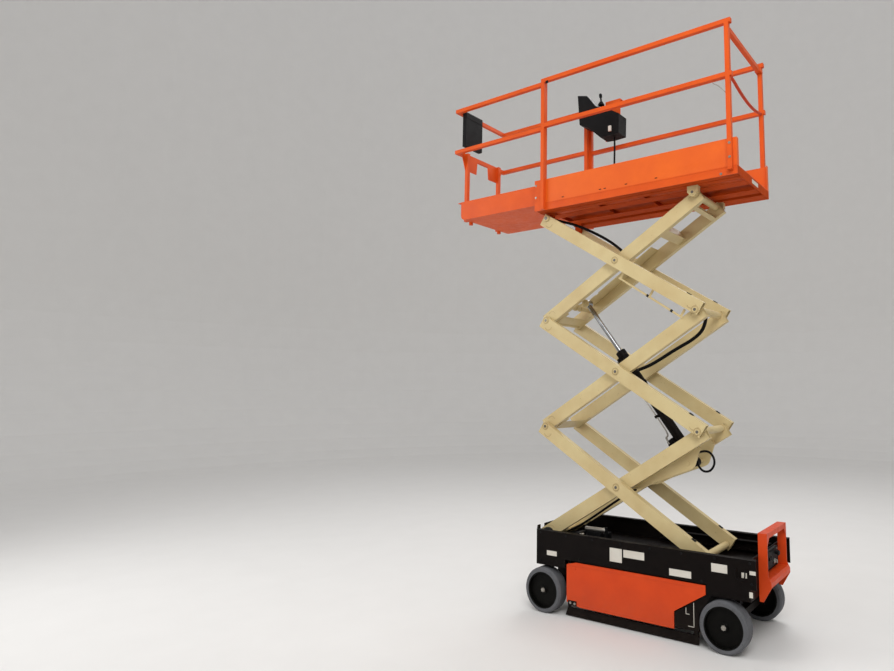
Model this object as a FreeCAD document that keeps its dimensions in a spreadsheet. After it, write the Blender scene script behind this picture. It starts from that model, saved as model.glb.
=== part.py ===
import FreeCAD, Part
import Sketcher
import os
import re

# Scissor lift, 15 ft class: an electric slab machine with three scissor stages and a roll-out deck.
# X points forward, Y to the machine's left and Z up. The floor is Z = 0, and the origin lies on it
# under the middle of the machine's length with the deck rolled out. Millimetres and degrees.

doc = FreeCAD.newDocument("scissor_lift")
sheet = doc.addObject("Spreadsheet::Sheet", "Sizes")

# The driving dimensions: name, value
SIZES = [
    # running gear
    ("axle_mid_x", -405), ("wheelbase", 1400), ("overall_width", 810),
    ("tyre_radius", 161.5), ("tyre_width", 100), ("tyre_shoulder", 12), ("rim_radius", 130),
    ("rim_lip", 9), ("rim_dish", 26), ("rim_back", 44), ("hub_radius", 24), ("hub_reach", 16),
    ("hub_inset", 10), ("stub_depth", 80),
    ("stub_radius", 15), ("running_fit", 0.05), ("seat_gap", 0.3),
    ("kingpin_track", 510), ("kingpin_radius", 12), ("kingpin_boss", 22), ("axle_beam_deep", 60),
    ("axle_beam_high", 65), ("axle_beam_low_z", 129), ("ear_thick", 8), ("ear_wide", 50),
    ("motor_radius", 55), ("motor_reach", 24), ("steer_arm_reach", 90), ("rear_beam_high", 50),
    ("steer_pin_radius", 8), ("tie_bar_thick", 10), ("tie_eye_radius", 17), ("axle_mount_y", 120),
    # chassis: its ends from the middle of the wheelbase, its pockets from the nearest axle
    ("chassis_front", 770), ("chassis_rear", 912), ("nose_front", 858), ("nose_y", 260),
    ("chassis_top_z", 590), ("chassis_width", 770),
    ("plate", 6), ("arch_z", 340), ("sill_z", 402), ("deck_plate_z", 456), ("top_flange", 34),
    ("spine_width", 300), ("spine_low_z", 112), ("pocket_front_gap", 232), ("pocket_rear_gap", 170),
    ("rear_step_z", 415), ("rear_recess", 36), ("low_panel_z", 100), ("front_wall_z", 132),
    ("arch_corner_z", 211.5), ("arch_corner_long", 70), ("arch_corner_deep", 36), ("arch_corner_top", 90),
    # swing-out trays and their doors
    ("door_front_gap", 205), ("door_rear_gap", 120), ("door_top_z", 394), ("door_front_top_z", 373),
    ("door_front_slope", 80), ("door_rear_low_z", 337), ("door_notch_gap", 343), ("door_notch_z", 198),
    ("door_low_z", 88), ("door_front_low_z", 112), ("door_corner", 116),
    ("tray_low_z", 142), ("tray_plate", 4), ("tray_front_gap", 28), ("tray_rear_gap", 370),
    ("tray_in_y", 170), ("tray_lip", 60), ("battery_width", 178),
    ("battery_height", 205), ("battery_gap", 8), ("hinge_radius", 4), ("hinge_lug", 8),
    ("hinge_inset", 9.5), ("hinge_swing", 24), ("moving_gap", 5),
    # pothole bars
    ("bar_front_gap", 175), ("bar_rear_gap", 185), ("bar_low_z", 7), ("bar_height", 58), ("bar_plate", 8),
    ("bar_slant", 22), ("bar_out_y", 353), ("bar_link_wide", 26), ("bar_link_top_z", 190),
    ("guide_reach", 12), ("guide_high", 50),
    # scissor stack
    ("pin_x", 779), ("base_pin_z", 517), ("arm_span", 1528), ("rest_angle", 33.3),
    ("arm_deep", 100), ("arm_wide", 45), ("arm_wall", 4), ("arm_gap", 6), ("arm_over", 32),
    ("arm_outer_y", 272), ("pin_offset", 24), ("pin_radius", 14), ("boss_radius", 24),
    ("pin_head_radius", 19), ("pin_head", 5), ("cross_tube_radius", 26), ("lug_tube_radius", 20),
    ("roller_radius", 27), ("roller_width", 34), ("track_wall", 5), ("slide_block_half", 40),
    ("bracket_plate", 28), ("bracket_half", 30),
    # lift cylinder: its base pin on the first inner frame and its rod pin on the third
    ("base_pin_along", 237), ("base_pin_below", 122), ("rod_pin_along", 1258), ("rod_pin_below", 0),
    ("rod_tube_along", 1355), ("rod_tube_above", 30), ("side_lug_y", 124),
    ("lug_tube_along", 705), ("lug_tube_below", 27), ("stub_along", 118), ("stub_below", 52),
    ("barrel_radius", 37), ("gland_radius", 41), ("gland_length", 60), ("rod_radius", 19),
    ("eye_radius", 32), ("eye_width", 56), ("cylinder_pin_radius", 14), ("barrel_reach", 1020),
    ("rod_inside", 490), ("lug_gap", 2), ("lug_plate", 12),
    # webs of the top inner frame and the window under the cylinder's lugs
    ("low_web_along", 50), ("low_web_below", 70), ("low_web_size", 35), ("box_web_along", 330),
    ("box_web_long", 75), ("box_web_half", 42), ("sheet_along", 800), ("sheet_long", 380),
    ("sheet_above", 36), ("sheet_inner_y", 62), ("lug_window_rear", 690), ("lug_window_front", 330),
    ("lug_window_y", 143), ("lug_window_low_z", 440), ("heel_slot_low_z", 500), ("heel_slot_rear", 72),
    # platform
    ("deck_above_pin", 47), ("deck_front", 840), ("deck_rear", 857), ("platform_width", 700),
    ("deck_skirt", 62), ("deck_sheet", 4), ("toe_high", 193), ("toe_return", 35),
    ("rail_top_above_floor", 1038), ("rail_tube", 32), ("mid_rail_drop", 384), ("post_front", 765),
    ("rear_post", 815), ("rear_post_drop", 33), ("rail_rear", 845), ("cross_beam", 26),
    ("guide_plate", 6), ("pad_thick", 4.4), ("pad_long", 50),
    # bar across the platform's rear
    ("gate_drop", 53), ("gate_hinge_y", 320), ("gate_pin_radius", 6), ("gate_end", 14), ("gate_cheek", 44),
    ("saddle_reach", 32),
    # roll-out deck
    ("ext_front", 1705), ("ext_overlap", 190), ("ext_width", 612), ("ext_sheet", 6), ("ext_lip_high", 166),
    ("ext_corner", 45), ("ext_flange", 40), ("ext_reach", 1765), ("ext_rear_post", 787),
    ("ext_post_low", 22), ("front_post_y", 215), ("bumper_radius", 18), ("bumper_high", 20), ("bumper_y", 193),
    ("stay_top_in", 68), ("stay_top_out", 287), ("stay_low_in", 84), ("stay_low_out", 232), ("stay_high", 157),
    # ladder
    ("ladder_width", 436), ("ladder_plate", 8), ("ladder_deep", 59), ("ladder_nose", 79), ("ladder_toe", 26),
    ("ladder_low_z", 303), ("ladder_top_z", 725), ("step_top_z", 445), ("step_low_z", 395),
    ("step_round", 20), ("step_lip", 33), ("step_corner", 42),
    # boxes on the rails
    ("control_in_y", 160), ("control_out_y", 292), ("hook_rear", 400), ("hook_length", 150), ("hook_plate", 6),
    ("hook_drop", 366),
    ("document_deep", 42), ("document_y", 60), ("document_wide", 217), ("document_drop", 331),
    ("panel_width", 262), ("panel_low_z", 470), ("panel_high", 115), ("panel_deep", 20),
]
for row, (name, value) in enumerate(SIZES, start=1):
    sheet.set(f"A{row}", name)
    sheet.set(f"B{row}", str(value))
    sheet.setAlias(f"B{row}", name)
doc.recompute()

# Places worked out from the sizes, each as the text of an expression
WORKED = {
    "half_width": "overall_width / 2",
    "front_axle_x": "axle_mid_x + wheelbase / 2",
    "rear_axle_x": "axle_mid_x - wheelbase / 2",
    "wheel_in_y": "half_width - tyre_width",
    "kingpin_y": "kingpin_track / 2",
    "chassis_y": "chassis_width / 2",
    "pocket_front": "wheelbase / 2 - pocket_front_gap",
    "pocket_rear": "wheelbase / 2 - pocket_rear_gap",
    "door_front": "wheelbase / 2 - door_front_gap",
    "door_rear": "wheelbase / 2 - door_rear_gap",
    "door_notch": "wheelbase / 2 - door_notch_gap",
    "hinge_x": "door_front - 2 * moving_gap",
    "hinge_y": "chassis_y - plate - hinge_inset",
    "tray_front": "pocket_front - tray_front_gap",
    "tray_rear": "wheelbase / 2 - tray_rear_gap",
    "battery_length": "(tray_front + tray_rear - 4 * tray_plate - 2 * battery_gap) / 3",
    "bar_front": "wheelbase / 2 - bar_front_gap",
    "bar_rear": "wheelbase / 2 - bar_rear_gap",
    "front_x": "axle_mid_x + pin_x",
    "rise": "arm_span * sin(rest_angle)",
    "run": "arm_span * cos(rest_angle)",
    "rear_x": "front_x - run",
    "inner_arm_y": "arm_outer_y - arm_wide - arm_gap",
    "frame_in_y": "inner_arm_y - arm_wide",
    "top_pin_z": "base_pin_z + 3 * rise",
    "deck_low_z": "top_pin_z + deck_above_pin",
    "floor_z": "deck_low_z + deck_skirt",
    "deck_y": "platform_width / 2",
    "ext_floor_z": "floor_z + moving_gap",
    "ext_y": "ext_width / 2",
    "axle_z": "tyre_radius",
    "rail_top_z": "floor_z + rail_top_above_floor",
    "mid_rail_z": "rail_top_z - mid_rail_drop - rail_tube",
    "rear_wall": "rear_recess - chassis_rear",
}
ALIASES = {name for name, value in SIZES}


def ex(text):
    """Writes out the worked places in an expression and points each size at its cell."""
    def swap(found):
        word = found.group(0)
        if word in WORKED:
            return f"({ex(WORKED[word])})"
        return f"Sizes.{word}" if word in ALIASES else word
    return re.sub(r"(?<![.\w])[a-z_]\w*", swap, text)


def bind(thing, **links):
    """Ties properties of an object to expressions; a double underscore stands for a dot."""
    for path, text in links.items():
        thing.setExpression(path.replace("__", "."), ex(text))
    return thing


def put(thing, x, y, z):
    """Places an object's own origin."""
    return bind(thing, Placement__Base__x=x, Placement__Base__y=y, Placement__Base__z=z)


def box(name, x, y, z, length, width, height):
    """A block from its low corner."""
    block = doc.addObject("Part::Box", name)
    bind(block, Length=length, Width=width, Height=height)
    return put(block, x, y, z)


TURNS = {"x": ((0, 1, 0), 90), "y": ((1, 0, 0), -90), "z": ((0, 0, 1), 0)}


def rod(name, axis, x, y, z, radius, length):
    """A cylinder from its low end along an axis."""
    bar = doc.addObject("Part::Cylinder", name)
    direction, angle = TURNS[axis]
    bar.Placement = FreeCAD.Placement(FreeCAD.Vector(), FreeCAD.Rotation(FreeCAD.Vector(*direction), angle))
    bind(bar, Radius=radius, Height=length)
    return put(bar, x, y, z)


def fuse(name, *things):
    """Welds pieces into one."""
    whole = doc.addObject("Part::MultiFuse", name)
    whole.Shapes = list(things)
    whole.Refine = True
    return whole


def cut(name, base, *tools):
    """Takes tools out of a base."""
    rest = doc.addObject("Part::Cut", name)
    rest.Base = base
    rest.Tool = tools[0] if len(tools) == 1 else fuse(f"{name}_tools", *tools)
    return rest


def plane_of(body, role):
    """One of a body's own origin planes."""
    return next(item for item in body.Origin.OriginFeatures if item.Role == role)


# Where a sketch's corners start, apart from one another, before the expressions place them
SPREAD = 10.0


def draw(sketch, points):
    """Draws a closed polygon in a sketch, each corner tied to two expressions."""
    count = len(points)
    corners = [FreeCAD.Vector(SPREAD * (k + 1), SPREAD * (k + 1) ** 2, 0) for k in range(count)]
    for k in range(count):
        sketch.addGeometry(Part.LineSegment(corners[k], corners[(k + 1) % count]), False)
    for k in range(count):
        sketch.addConstraint(Sketcher.Constraint("Coincident", k, 2, (k + 1) % count, 1))
    for k, (u, v) in enumerate(points):
        for kind, text in (("DistanceX", u), ("DistanceY", v)):
            at = sketch.addConstraint(Sketcher.Constraint(kind, -1, 1, k, 1, SPREAD))
            sketch.setExpression(f"Constraints[{at}]", ex(text))


def prism(name, plane, points, start, depth):
    """A polygon padded from start along the plane's normal.

    The plane is XZ_Plane (corners are x, z and the pad runs along +Y), XY_Plane (x, y, along +Z)
    or YZ_Plane (y, z, along +X)."""
    body = doc.addObject("PartDesign::Body", name)
    sketch = body.newObject("Sketcher::SketchObject", f"{name}_outline")
    sketch.AttachmentSupport = [(plane_of(body, plane), "")]
    sketch.MapMode = "FlatFace"
    draw(sketch, points)
    pad = body.newObject("PartDesign::Pad", f"{name}_pad")
    pad.Profile = sketch
    pad.Reversed = plane == "XZ_Plane"
    bind(pad, Length=depth)
    away = {"XZ_Plane": ("0", start, "0"), "XY_Plane": ("0", "0", start), "YZ_Plane": (start, "0", "0")}
    return put(body, *away[plane])


def spun(name, points, sign, x, y, z):
    """A turned piece from its half section, corners as radius and distance along Y; sign -1 turns it about."""
    body = doc.addObject("PartDesign::Body", name)
    sketch = body.newObject("Sketcher::SketchObject", f"{name}_section")
    sketch.AttachmentSupport = [(plane_of(body, "XY_Plane"), "")]
    sketch.MapMode = "FlatFace"
    draw(sketch, points)
    turned = body.newObject("PartDesign::Revolution", f"{name}_turned")
    turned.Profile = sketch
    turned.ReferenceAxis = (sketch, ["V_Axis"])
    turned.Angle = 360
    body.Placement = FreeCAD.Placement(FreeCAD.Vector(), FreeCAD.Rotation(FreeCAD.Vector(1, 0, 0), 90 - 90 * sign))
    return put(body, x, y, z)


def sides(name, make):
    """Calls make for the left (+1) and the right (-1) side and returns both results."""
    return [make(f"{name}_{word}", sign) for word, sign in (("left", 1), ("right", -1))]


def low_y(sign, inner, width):
    """The low Y of a piece that starts at inner and is width wide, on one side."""
    return inner if sign > 0 else f"-({inner}) - ({width})"


NODES = []


def node(thing):
    """Lists an object as one finished piece; its label names its file."""
    NODES.append(thing)
    return thing


def mid(text):
    """A place along the chassis, measured from the middle of the wheelbase."""
    return f"axle_mid_x + {text}"


# Chassis frame: side plates with their arches, deck, end plates, tray pockets and spine

def side_outline():
    """Corners of a chassis side plate, from the front top and clockwise."""
    rear = "-door_rear - moving_gap"
    notch = "-door_notch - moving_gap"
    return [
        (mid("chassis_front"), "chassis_top_z"), (mid("chassis_front"), "arch_z"),
        (mid("hinge_x + hinge_swing"), "arch_z"), (mid("hinge_x + hinge_swing"), "sill_z"),
        (mid(rear), "sill_z"), (mid(rear), "door_rear_low_z - moving_gap"),
        (mid(notch), "door_notch_z - moving_gap"), (mid(notch), "low_panel_z"),
        (mid("-pocket_rear"), "low_panel_z"), (mid("-pocket_rear"), "arch_corner_z"),
        (mid("-pocket_rear - arch_corner_long"), "arch_z - arch_corner_deep"),
        (mid("-pocket_rear - arch_corner_top"), "arch_z"),
        (mid("rear_wall"), "arch_z"), (mid("rear_wall"), "rear_step_z"),
        (mid("-chassis_rear"), "rear_step_z"), (mid("-chassis_rear"), "chassis_top_z"),
    ]


def side_plate(name, sign):
    return prism(name, "XZ_Plane", side_outline(), low_y(sign, "chassis_y - plate", "plate"), "plate")


IN_WIDTH = "chassis_width - 2 * plate"
IN_LOW_Y = "plate - chassis_y"


def cross_plate(name, x, low_z, top_z):
    """A plate across the chassis between the side plates."""
    return box(name, x, IN_LOW_Y, low_z, "plate", IN_WIDTH, f"{top_z} - ({low_z})")


def flat_plate(name, rear, front, z):
    """A level plate between the side plates."""
    return box(name, rear, IN_LOW_Y, z, f"{front} - ({rear})", IN_WIDTH, "plate")


def spine_web(name, sign):
    return box(name, mid("plate - pocket_rear"), low_y(sign, "spine_width / 2 - plate", "plate"), "spine_low_z",
               "pocket_rear + pocket_front - 2 * plate", "plate", "deck_plate_z - spine_low_z")


def top_flange(name, sign):
    return box(name, mid("plate - chassis_rear"), low_y(sign, "chassis_y - plate - top_flange", "top_flange"),
               "chassis_top_z - plate", "chassis_rear + chassis_front - plate", "top_flange", "plate")


# Plan of the tapered nose: its plate ring, one plate thick, and the floors inside it
NOSE_SHELL = [
    (mid("chassis_front"), "chassis_y"), (mid("nose_front"), "nose_y"), (mid("nose_front"), "-nose_y"),
    (mid("chassis_front"), "-chassis_y"), (mid("chassis_front"), "1.75 * plate - chassis_y"),
    (mid("nose_front - plate"), "0.3 * plate - nose_y"), (mid("nose_front - plate"), "nose_y - 0.3 * plate"),
    (mid("chassis_front"), "chassis_y - 1.75 * plate"),
]
NOSE_FLOOR = [
    (mid("chassis_front"), "chassis_y - plate"), (mid("nose_front - plate / 2"), "nose_y - plate / 4"),
    (mid("nose_front - plate / 2"), "plate / 4 - nose_y"), (mid("chassis_front"), "plate - chassis_y"),
]


# Plan of the plate over the front wheels, cut away where the doors' front ends swing
ARCH_PLAN = [
    (mid("chassis_front"), "chassis_y - plate"), (mid("hinge_x + hinge_swing"), "chassis_y - plate"),
    (mid("hinge_x + hinge_swing"), "hinge_y - hinge_swing"), (mid("pocket_front - plate"), "hinge_y - hinge_swing"),
    (mid("pocket_front - plate"), "hinge_swing - hinge_y"), (mid("hinge_x + hinge_swing"), "hinge_swing - hinge_y"),
    (mid("hinge_x + hinge_swing"), "plate - chassis_y"), (mid("chassis_front"), "plate - chassis_y"),
]


def hinge_lugs(name, sign):
    """The two bored lugs that carry one door's hinge pin."""
    pieces = []
    for place, z in (("low", "front_wall_z"), ("high", "door_top_z - 2 * plate")):
        pieces.append(box(f"{name}_{place}_arm", mid("pocket_front - plate"),
                          low_y(sign, "hinge_y - hinge_lug", "2 * hinge_lug"), z,
                          "hinge_x - pocket_front + plate", "2 * hinge_lug", "plate"))
        pieces.append(rod(f"{name}_{place}_head", "z", mid("hinge_x"), f"{sign} * hinge_y", z, "hinge_lug", "plate"))
    bore = rod(f"{name}_bore", "z", mid("hinge_x"), f"{sign} * hinge_y", "low_panel_z - plate",
               "hinge_radius + running_fit", "door_top_z")
    return cut(name, fuse(f"{name}_pair", *pieces), bore)


def bar_guides(name, sign):
    """Guides for the two links of one pothole bar, on the walls of the tray pocket."""
    pieces = []
    block = "bar_plate + 2 * plate"
    for place, wall, back in (
            ("front", "pocket_front - plate", "bar_front - bar_slant - bar_link_wide - seat_gap"),
            ("rear", "-pocket_rear", "moving_gap - bar_rear - seat_gap")):
        pieces.append(box(f"{name}_{place}_block", mid(wall), low_y(sign, "bar_out_y - bar_plate - plate", block),
                          "front_wall_z", f"{back} - ({wall})", block, "guide_high"))
        for cheek, y in (("in", "bar_out_y - bar_plate - seat_gap - plate"), ("out", "bar_out_y + seat_gap")):
            pieces.append(box(f"{name}_{place}_{cheek}", mid(wall), low_y(sign, y, "plate"), "front_wall_z",
                              f"{back} - ({wall}) + guide_reach", "plate", "guide_high"))
    return pieces


def pin_hole(name, x, z, sign):
    """A bore across one outer arm's or bracket's plane."""
    return rod(name, "y", x, low_y(sign, "inner_arm_y", "arm_wide + 4 * arm_gap"), z,
               "pin_radius + running_fit", "arm_wide + 4 * arm_gap")


def base_bracket(name, sign):
    """The bracket that carries one front pin, in the plane of the outer arms."""
    y = low_y(sign, "arm_outer_y - bracket_plate", "bracket_plate")
    foot = box(f"{name}_foot", "front_x - 1.6 * bracket_half", y, "deck_plate_z + plate", "2.2 * bracket_half",
               "bracket_plate", "base_pin_z - deck_plate_z - plate")
    head = rod(f"{name}_head", "y", "front_x", y, "base_pin_z", "bracket_half - arm_gap", "bracket_plate")
    return cut(name, fuse(f"{name}_body", foot, head), pin_hole(f"{name}_bore", "front_x", "base_pin_z", sign))


def heel_slot(name, sign):
    """The notch in the front wall that the heel of a raised inner arm turns into."""
    wide = "arm_wide + 2 * moving_gap"
    return box(name, "front_x + heel_slot_rear", low_y(sign, "frame_in_y - moving_gap", wide),
               "heel_slot_low_z", mid("nose_front") + " - front_x", wide, "chassis_top_z")


chassis_solid = fuse(
    "chassis_solid",
    *sides("side_plate", side_plate),
    flat_plate("deck_plate", mid("rear_wall"), mid("chassis_front"), "deck_plate_z"),
    prism("nose_shell", "XY_Plane", NOSE_SHELL, "arch_z", "chassis_top_z - arch_z"),
    prism("nose_deck", "XY_Plane", NOSE_FLOOR, "deck_plate_z", "plate"),
    prism("nose_under", "XY_Plane", NOSE_FLOOR, "arch_z", "plate"),
    cross_plate("rear_plate", mid("rear_wall"), "arch_z", "chassis_top_z"),
    prism("front_arch", "XY_Plane", ARCH_PLAN, "arch_z", "plate"),
    flat_plate("rear_arch", mid("rear_wall"), mid("-pocket_rear"), "arch_z"),
    cross_plate("pocket_front_wall", mid("pocket_front - plate"), "front_wall_z", "deck_plate_z"),
    cross_plate("pocket_rear_wall", mid("-pocket_rear"), "low_panel_z", "deck_plate_z"),
    box("spine_floor", mid("-pocket_rear"), "-spine_width / 2", "spine_low_z", "pocket_rear + pocket_front",
        "spine_width", "plate"),
    *sides("spine_web", spine_web),
    *sides("top_flange", top_flange),
    *sides("hinge_lugs", hinge_lugs),
    *[piece for pair in sides("bar_guide", bar_guides) for piece in pair],
    *sides("base_bracket", base_bracket),
)
chassis_frame = node(cut(
    "chassis_frame", chassis_solid,
    box("lug_window", mid("-lug_window_rear"), "-lug_window_y", "lug_window_low_z",
        "lug_window_rear - lug_window_front", "2 * lug_window_y", "deck_plate_z + 2 * plate - lug_window_low_z"),
    *sides("heel_slot", heel_slot),
))


# Roller tracks on the deck, one channel a side, open towards the arms

TRACK_REAR = "front_x - arm_span - 2 * roller_radius"
TRACK_LENGTH = "arm_span * 0.52 + 3 * roller_radius"
TRACK_IN_Y = "arm_outer_y + arm_gap - 2"
TRACK_WIDE = "roller_width + 4 + track_wall"


def track(name, sign):
    flange = f"{TRACK_WIDE}"
    low = box(f"{name}_low", TRACK_REAR, low_y(sign, TRACK_IN_Y, flange),
              "base_pin_z - roller_radius - seat_gap - track_wall", TRACK_LENGTH, flange, "track_wall")
    top = box(f"{name}_top", TRACK_REAR, low_y(sign, TRACK_IN_Y, flange), "base_pin_z + roller_radius + 3",
              TRACK_LENGTH, flange, "track_wall")
    web = box(f"{name}_web", TRACK_REAR, low_y(sign, f"{TRACK_IN_Y} + {TRACK_WIDE} - track_wall", "track_wall"),
              "deck_plate_z + plate", TRACK_LENGTH, "track_wall",
              "base_pin_z + roller_radius + 3 + track_wall - deck_plate_z - plate")
    return fuse(name, low, top, web)


track_left, track_right = [node(piece) for piece in sides("roller_track", track)]


# Scissor arms. Each is drawn from its rear pin along its pin line and then turned to its angle.
# Stage, which arm, the rear pin's height in rises, and the turn about Y

ARMS = [
    ("1", "inner", "1", "rest_angle"), ("1", "outer", "0", "-rest_angle"),
    ("2", "inner", "2", "rest_angle"), ("2", "outer", "1", "-rest_angle"),
    ("3", "inner", "3", "rest_angle"), ("3", "outer", "2", "-rest_angle"),
]
STATIONS = [("rear", "0"), ("middle", "arm_span / 2"), ("front", "arm_span")]


def arm_tube(name, kind, y, grow, width):
    """The outside of an arm for grow 0, or its hollow for grow = minus the wall."""
    rear = "pin_offset" if kind == "outer" else "-pin_offset"
    half = f"(arm_deep / 2 + {grow})"
    end = "arm_over" if grow == "0" else "(arm_over + moving_gap)"
    corners = [
        (f"-{end}", f"{rear} + {half}"), (f"arm_span + {end}", f"-({rear}) + {half}"),
        (f"arm_span + {end}", f"-({rear}) - {half}"), (f"-{end}", f"{rear} - {half}"),
    ]
    return prism(name, "XZ_Plane", corners, y, width)


def arm(name, kind, sign):
    """One arm in its own frame: a square-cut tube with three bosses, bored or with its pins."""
    inner = kind == "inner"
    start = "frame_in_y" if inner else "arm_outer_y - arm_wide"
    y = low_y(sign, start, "arm_wide")
    shell = cut(f"{name}_shell", arm_tube(f"{name}_tube", kind, y, "0", "arm_wide"),
                arm_tube(f"{name}_hollow", kind, low_y(sign, f"{start} + arm_wall", "arm_wide - 2 * arm_wall"),
                         "-arm_wall", "arm_wide - 2 * arm_wall"))
    bosses = [rod(f"{name}_{place}_boss", "y", along, y, "0", "boss_radius", "arm_wide")
              for place, along in STATIONS]
    if not inner:
        bored = fuse(f"{name}_welded", shell, *bosses)
        return cut(name, bored, *[pin_hole(f"{name}_{place}_bore", along, "0", sign) for place, along in STATIONS])
    pins = []
    for place, along in STATIONS:
        reach = "arm_gap + arm_wide + seat_gap"
        pins.append(rod(f"{name}_{place}_pin", "y", along, low_y(sign, "inner_arm_y", reach), "0",
                        "pin_radius", reach))
        pins.append(rod(f"{name}_{place}_head", "y", along,
                        low_y(sign, "arm_outer_y + seat_gap", "pin_head"), "0", "pin_head_radius", "pin_head"))
    return fuse(name, shell, *bosses, *pins)


def turn_to_rest(thing, height, angle):
    """Turns a piece drawn along its pin line to the rest pose, about its rear pin."""
    thing.Placement = FreeCAD.Placement(FreeCAD.Vector(), FreeCAD.Rotation(FreeCAD.Vector(0, 1, 0), 10))
    bind(thing, Placement__Rotation__Angle=angle)
    return put(thing, "rear_x", "0", f"base_pin_z + {height} * rise")


def frame_tube(name, along, above, radius):
    """A round tube between an inner frame's two arms."""
    return rod(name, "y", along, "-frame_in_y", above, radius, "2 * frame_in_y")


def lug(name, along, above, foot_along, foot_above, sign):
    """One of a pair of lugs, from a tube of the frame to a cylinder pin."""
    y = low_y(sign, "eye_width / 2 + lug_gap", "lug_plate")
    head = rod(f"{name}_head", "y", along, y, above, "eye_radius", "lug_plate")
    foot = rod(f"{name}_foot", "y", foot_along, y, foot_above, "lug_tube_radius + plate", "lug_plate")
    waist = [
        (f"{along} - eye_radius / 2", f"{above} - eye_radius / 2"),
        (f"{along} + eye_radius / 2", f"{above} + eye_radius / 2"),
        (f"{foot_along} + eye_radius / 2", f"{foot_above} + eye_radius / 2"),
        (f"{foot_along} - eye_radius / 2", f"{foot_above} - eye_radius / 2"),
    ]
    return fuse(name, head, foot, prism(f"{name}_waist", "XZ_Plane", waist, y, "lug_plate"))


def side_lug(name, sign):
    """One of the two long plates below the first inner frame that carry the cylinder's base pin."""
    reach = "frame_in_y - side_lug_y"
    stub = rod(f"{name}_stub", "y", "stub_along", low_y(sign, "side_lug_y", reach), "-stub_below",
               "lug_tube_radius", reach)
    plate = prism(f"{name}_plate", "XZ_Plane", SIDE_LUG, low_y(sign, "side_lug_y", "lug_plate"), "lug_plate")
    return fuse(name, plate, stub)


def frame_cross(name, tubes, lugs, webs):
    """The tubes and webs between an inner frame's arms, with a pair of lugs and their pin where it has any."""
    pieces = [rod(f"{name}_tube_{k}", "y", along, "-frame_in_y", above, radius, "2 * frame_in_y")
              for k, (along, above, radius) in enumerate(tubes, start=1)]
    for k, (along, low, long, high, inner) in enumerate(webs, start=1):
        width = f"frame_in_y - {inner}"
        pieces += [box(f"{name}_web_{k}_{side}", along, low_y(sign, inner, width), low, long, width, high)
                   for side, sign in (("left", 1), ("right", -1))]
    for along, above, foot_along, foot_above in lugs:
        pieces += sides(f"{name}_lug", lambda part, sign: lug(part, along, above, foot_along, foot_above, sign))
        stub = "lug_plate + pin_head"
        pieces += [rod(f"{name}_pin_{side}", "y", along, low_y(sign, "eye_width / 2 + lug_gap", stub),
                       above, "cylinder_pin_radius", stub)
                   for side, sign in (("left", 1), ("right", -1))]
    return fuse(name, *pieces)


END_TUBES = [("0", "0", "cross_tube_radius"), ("arm_span", "0", "cross_tube_radius")]
# Corners of a side lug as distance along the pin line and height above it
SIDE_LUG = [
    ("96", "-20"), ("96", "-80"), ("200", "-161"), ("222", "-168"), ("247", "-166"), ("525", "-106"),
    ("645", "-92"), ("760", "-40"), ("760", "-10"),
]
# Stage, tubes besides the two at the ends (along, above, radius), lugs (along, above, foot along, foot above),
# webs (along, low side, length, height, inner side)
CROSSES = {
    "1": ([("lug_tube_along", "-lug_tube_below", "lug_tube_radius")], [], []),
    "2": ([], [], []),
    "3": ([("rod_tube_along", "rod_tube_above", "lug_tube_radius")],
          [("rod_pin_along", "-rod_pin_below", "rod_tube_along", "rod_tube_above")],
          [("low_web_along", "-low_web_below", "low_web_size", "low_web_size", "0"),
           ("box_web_along", "-box_web_half", "box_web_long", "2 * box_web_half", "0"),
           ("sheet_along", "sheet_above", "sheet_long", "plate", "sheet_inner_y")]),
}
for stage, kind, height, angle in ARMS:
    for side, sign in (("left", 1), ("right", -1)):
        node(turn_to_rest(arm(f"{kind}_arm_{stage}_{side}", kind, sign), height, angle))
    if kind == "inner":
        tubes, lugs, webs = CROSSES[stage]
        cross = frame_cross(f"inner_cross_{stage}", END_TUBES + tubes, lugs, webs)
        if stage == "1":
            reach = "side_lug_y + lug_plate + moving_gap"
            pin = rod("base_pin", "y", "base_pin_along", f"-({reach})", "-base_pin_below", "cylinder_pin_radius",
                      f"2 * ({reach})")
            cross.Shapes = cross.Shapes + sides("side_lug", side_lug) + [pin]
        node(turn_to_rest(cross, height, angle))


# Shaft and rollers at the low rear pins

def roller(name, sign):
    return rod(name, "y", "rear_x", low_y(sign, "arm_outer_y + arm_gap - 1", "roller_width"), "base_pin_z",
               "roller_radius", "roller_width")


SHAFT_Y = "arm_outer_y + arm_gap - 1 + roller_width"
base_rollers = node(fuse(
    "base_rollers",
    rod("roller_shaft", "y", "rear_x", f"-({SHAFT_Y})", "base_pin_z", "pin_radius", f"2 * ({SHAFT_Y})"),
    rod("roller_tube", "y", "rear_x", "-inner_arm_y", "base_pin_z", "cross_tube_radius", "2 * inner_arm_y"),
    *sides("roller", roller),
))


# Slide blocks at the top rear pins, under the deck's tracks

def slide_block(name, sign):
    y = low_y(sign, "inner_arm_y + arm_gap", "arm_wide")
    top = box(f"{name}_top", "rear_x - slide_block_half", y, "top_pin_z", "2 * slide_block_half", "arm_wide",
              "deck_above_pin - seat_gap")
    eye = rod(f"{name}_eye", "y", "rear_x", y, "top_pin_z", "bracket_half", "arm_wide")
    return cut(name, fuse(f"{name}_body", top, eye), pin_hole(f"{name}_bore", "rear_x", "top_pin_z", sign))


for block in sides("slide_block", slide_block):
    node(block)


# Lift cylinder, drawn from its base pin along X and turned between its two pins

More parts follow.
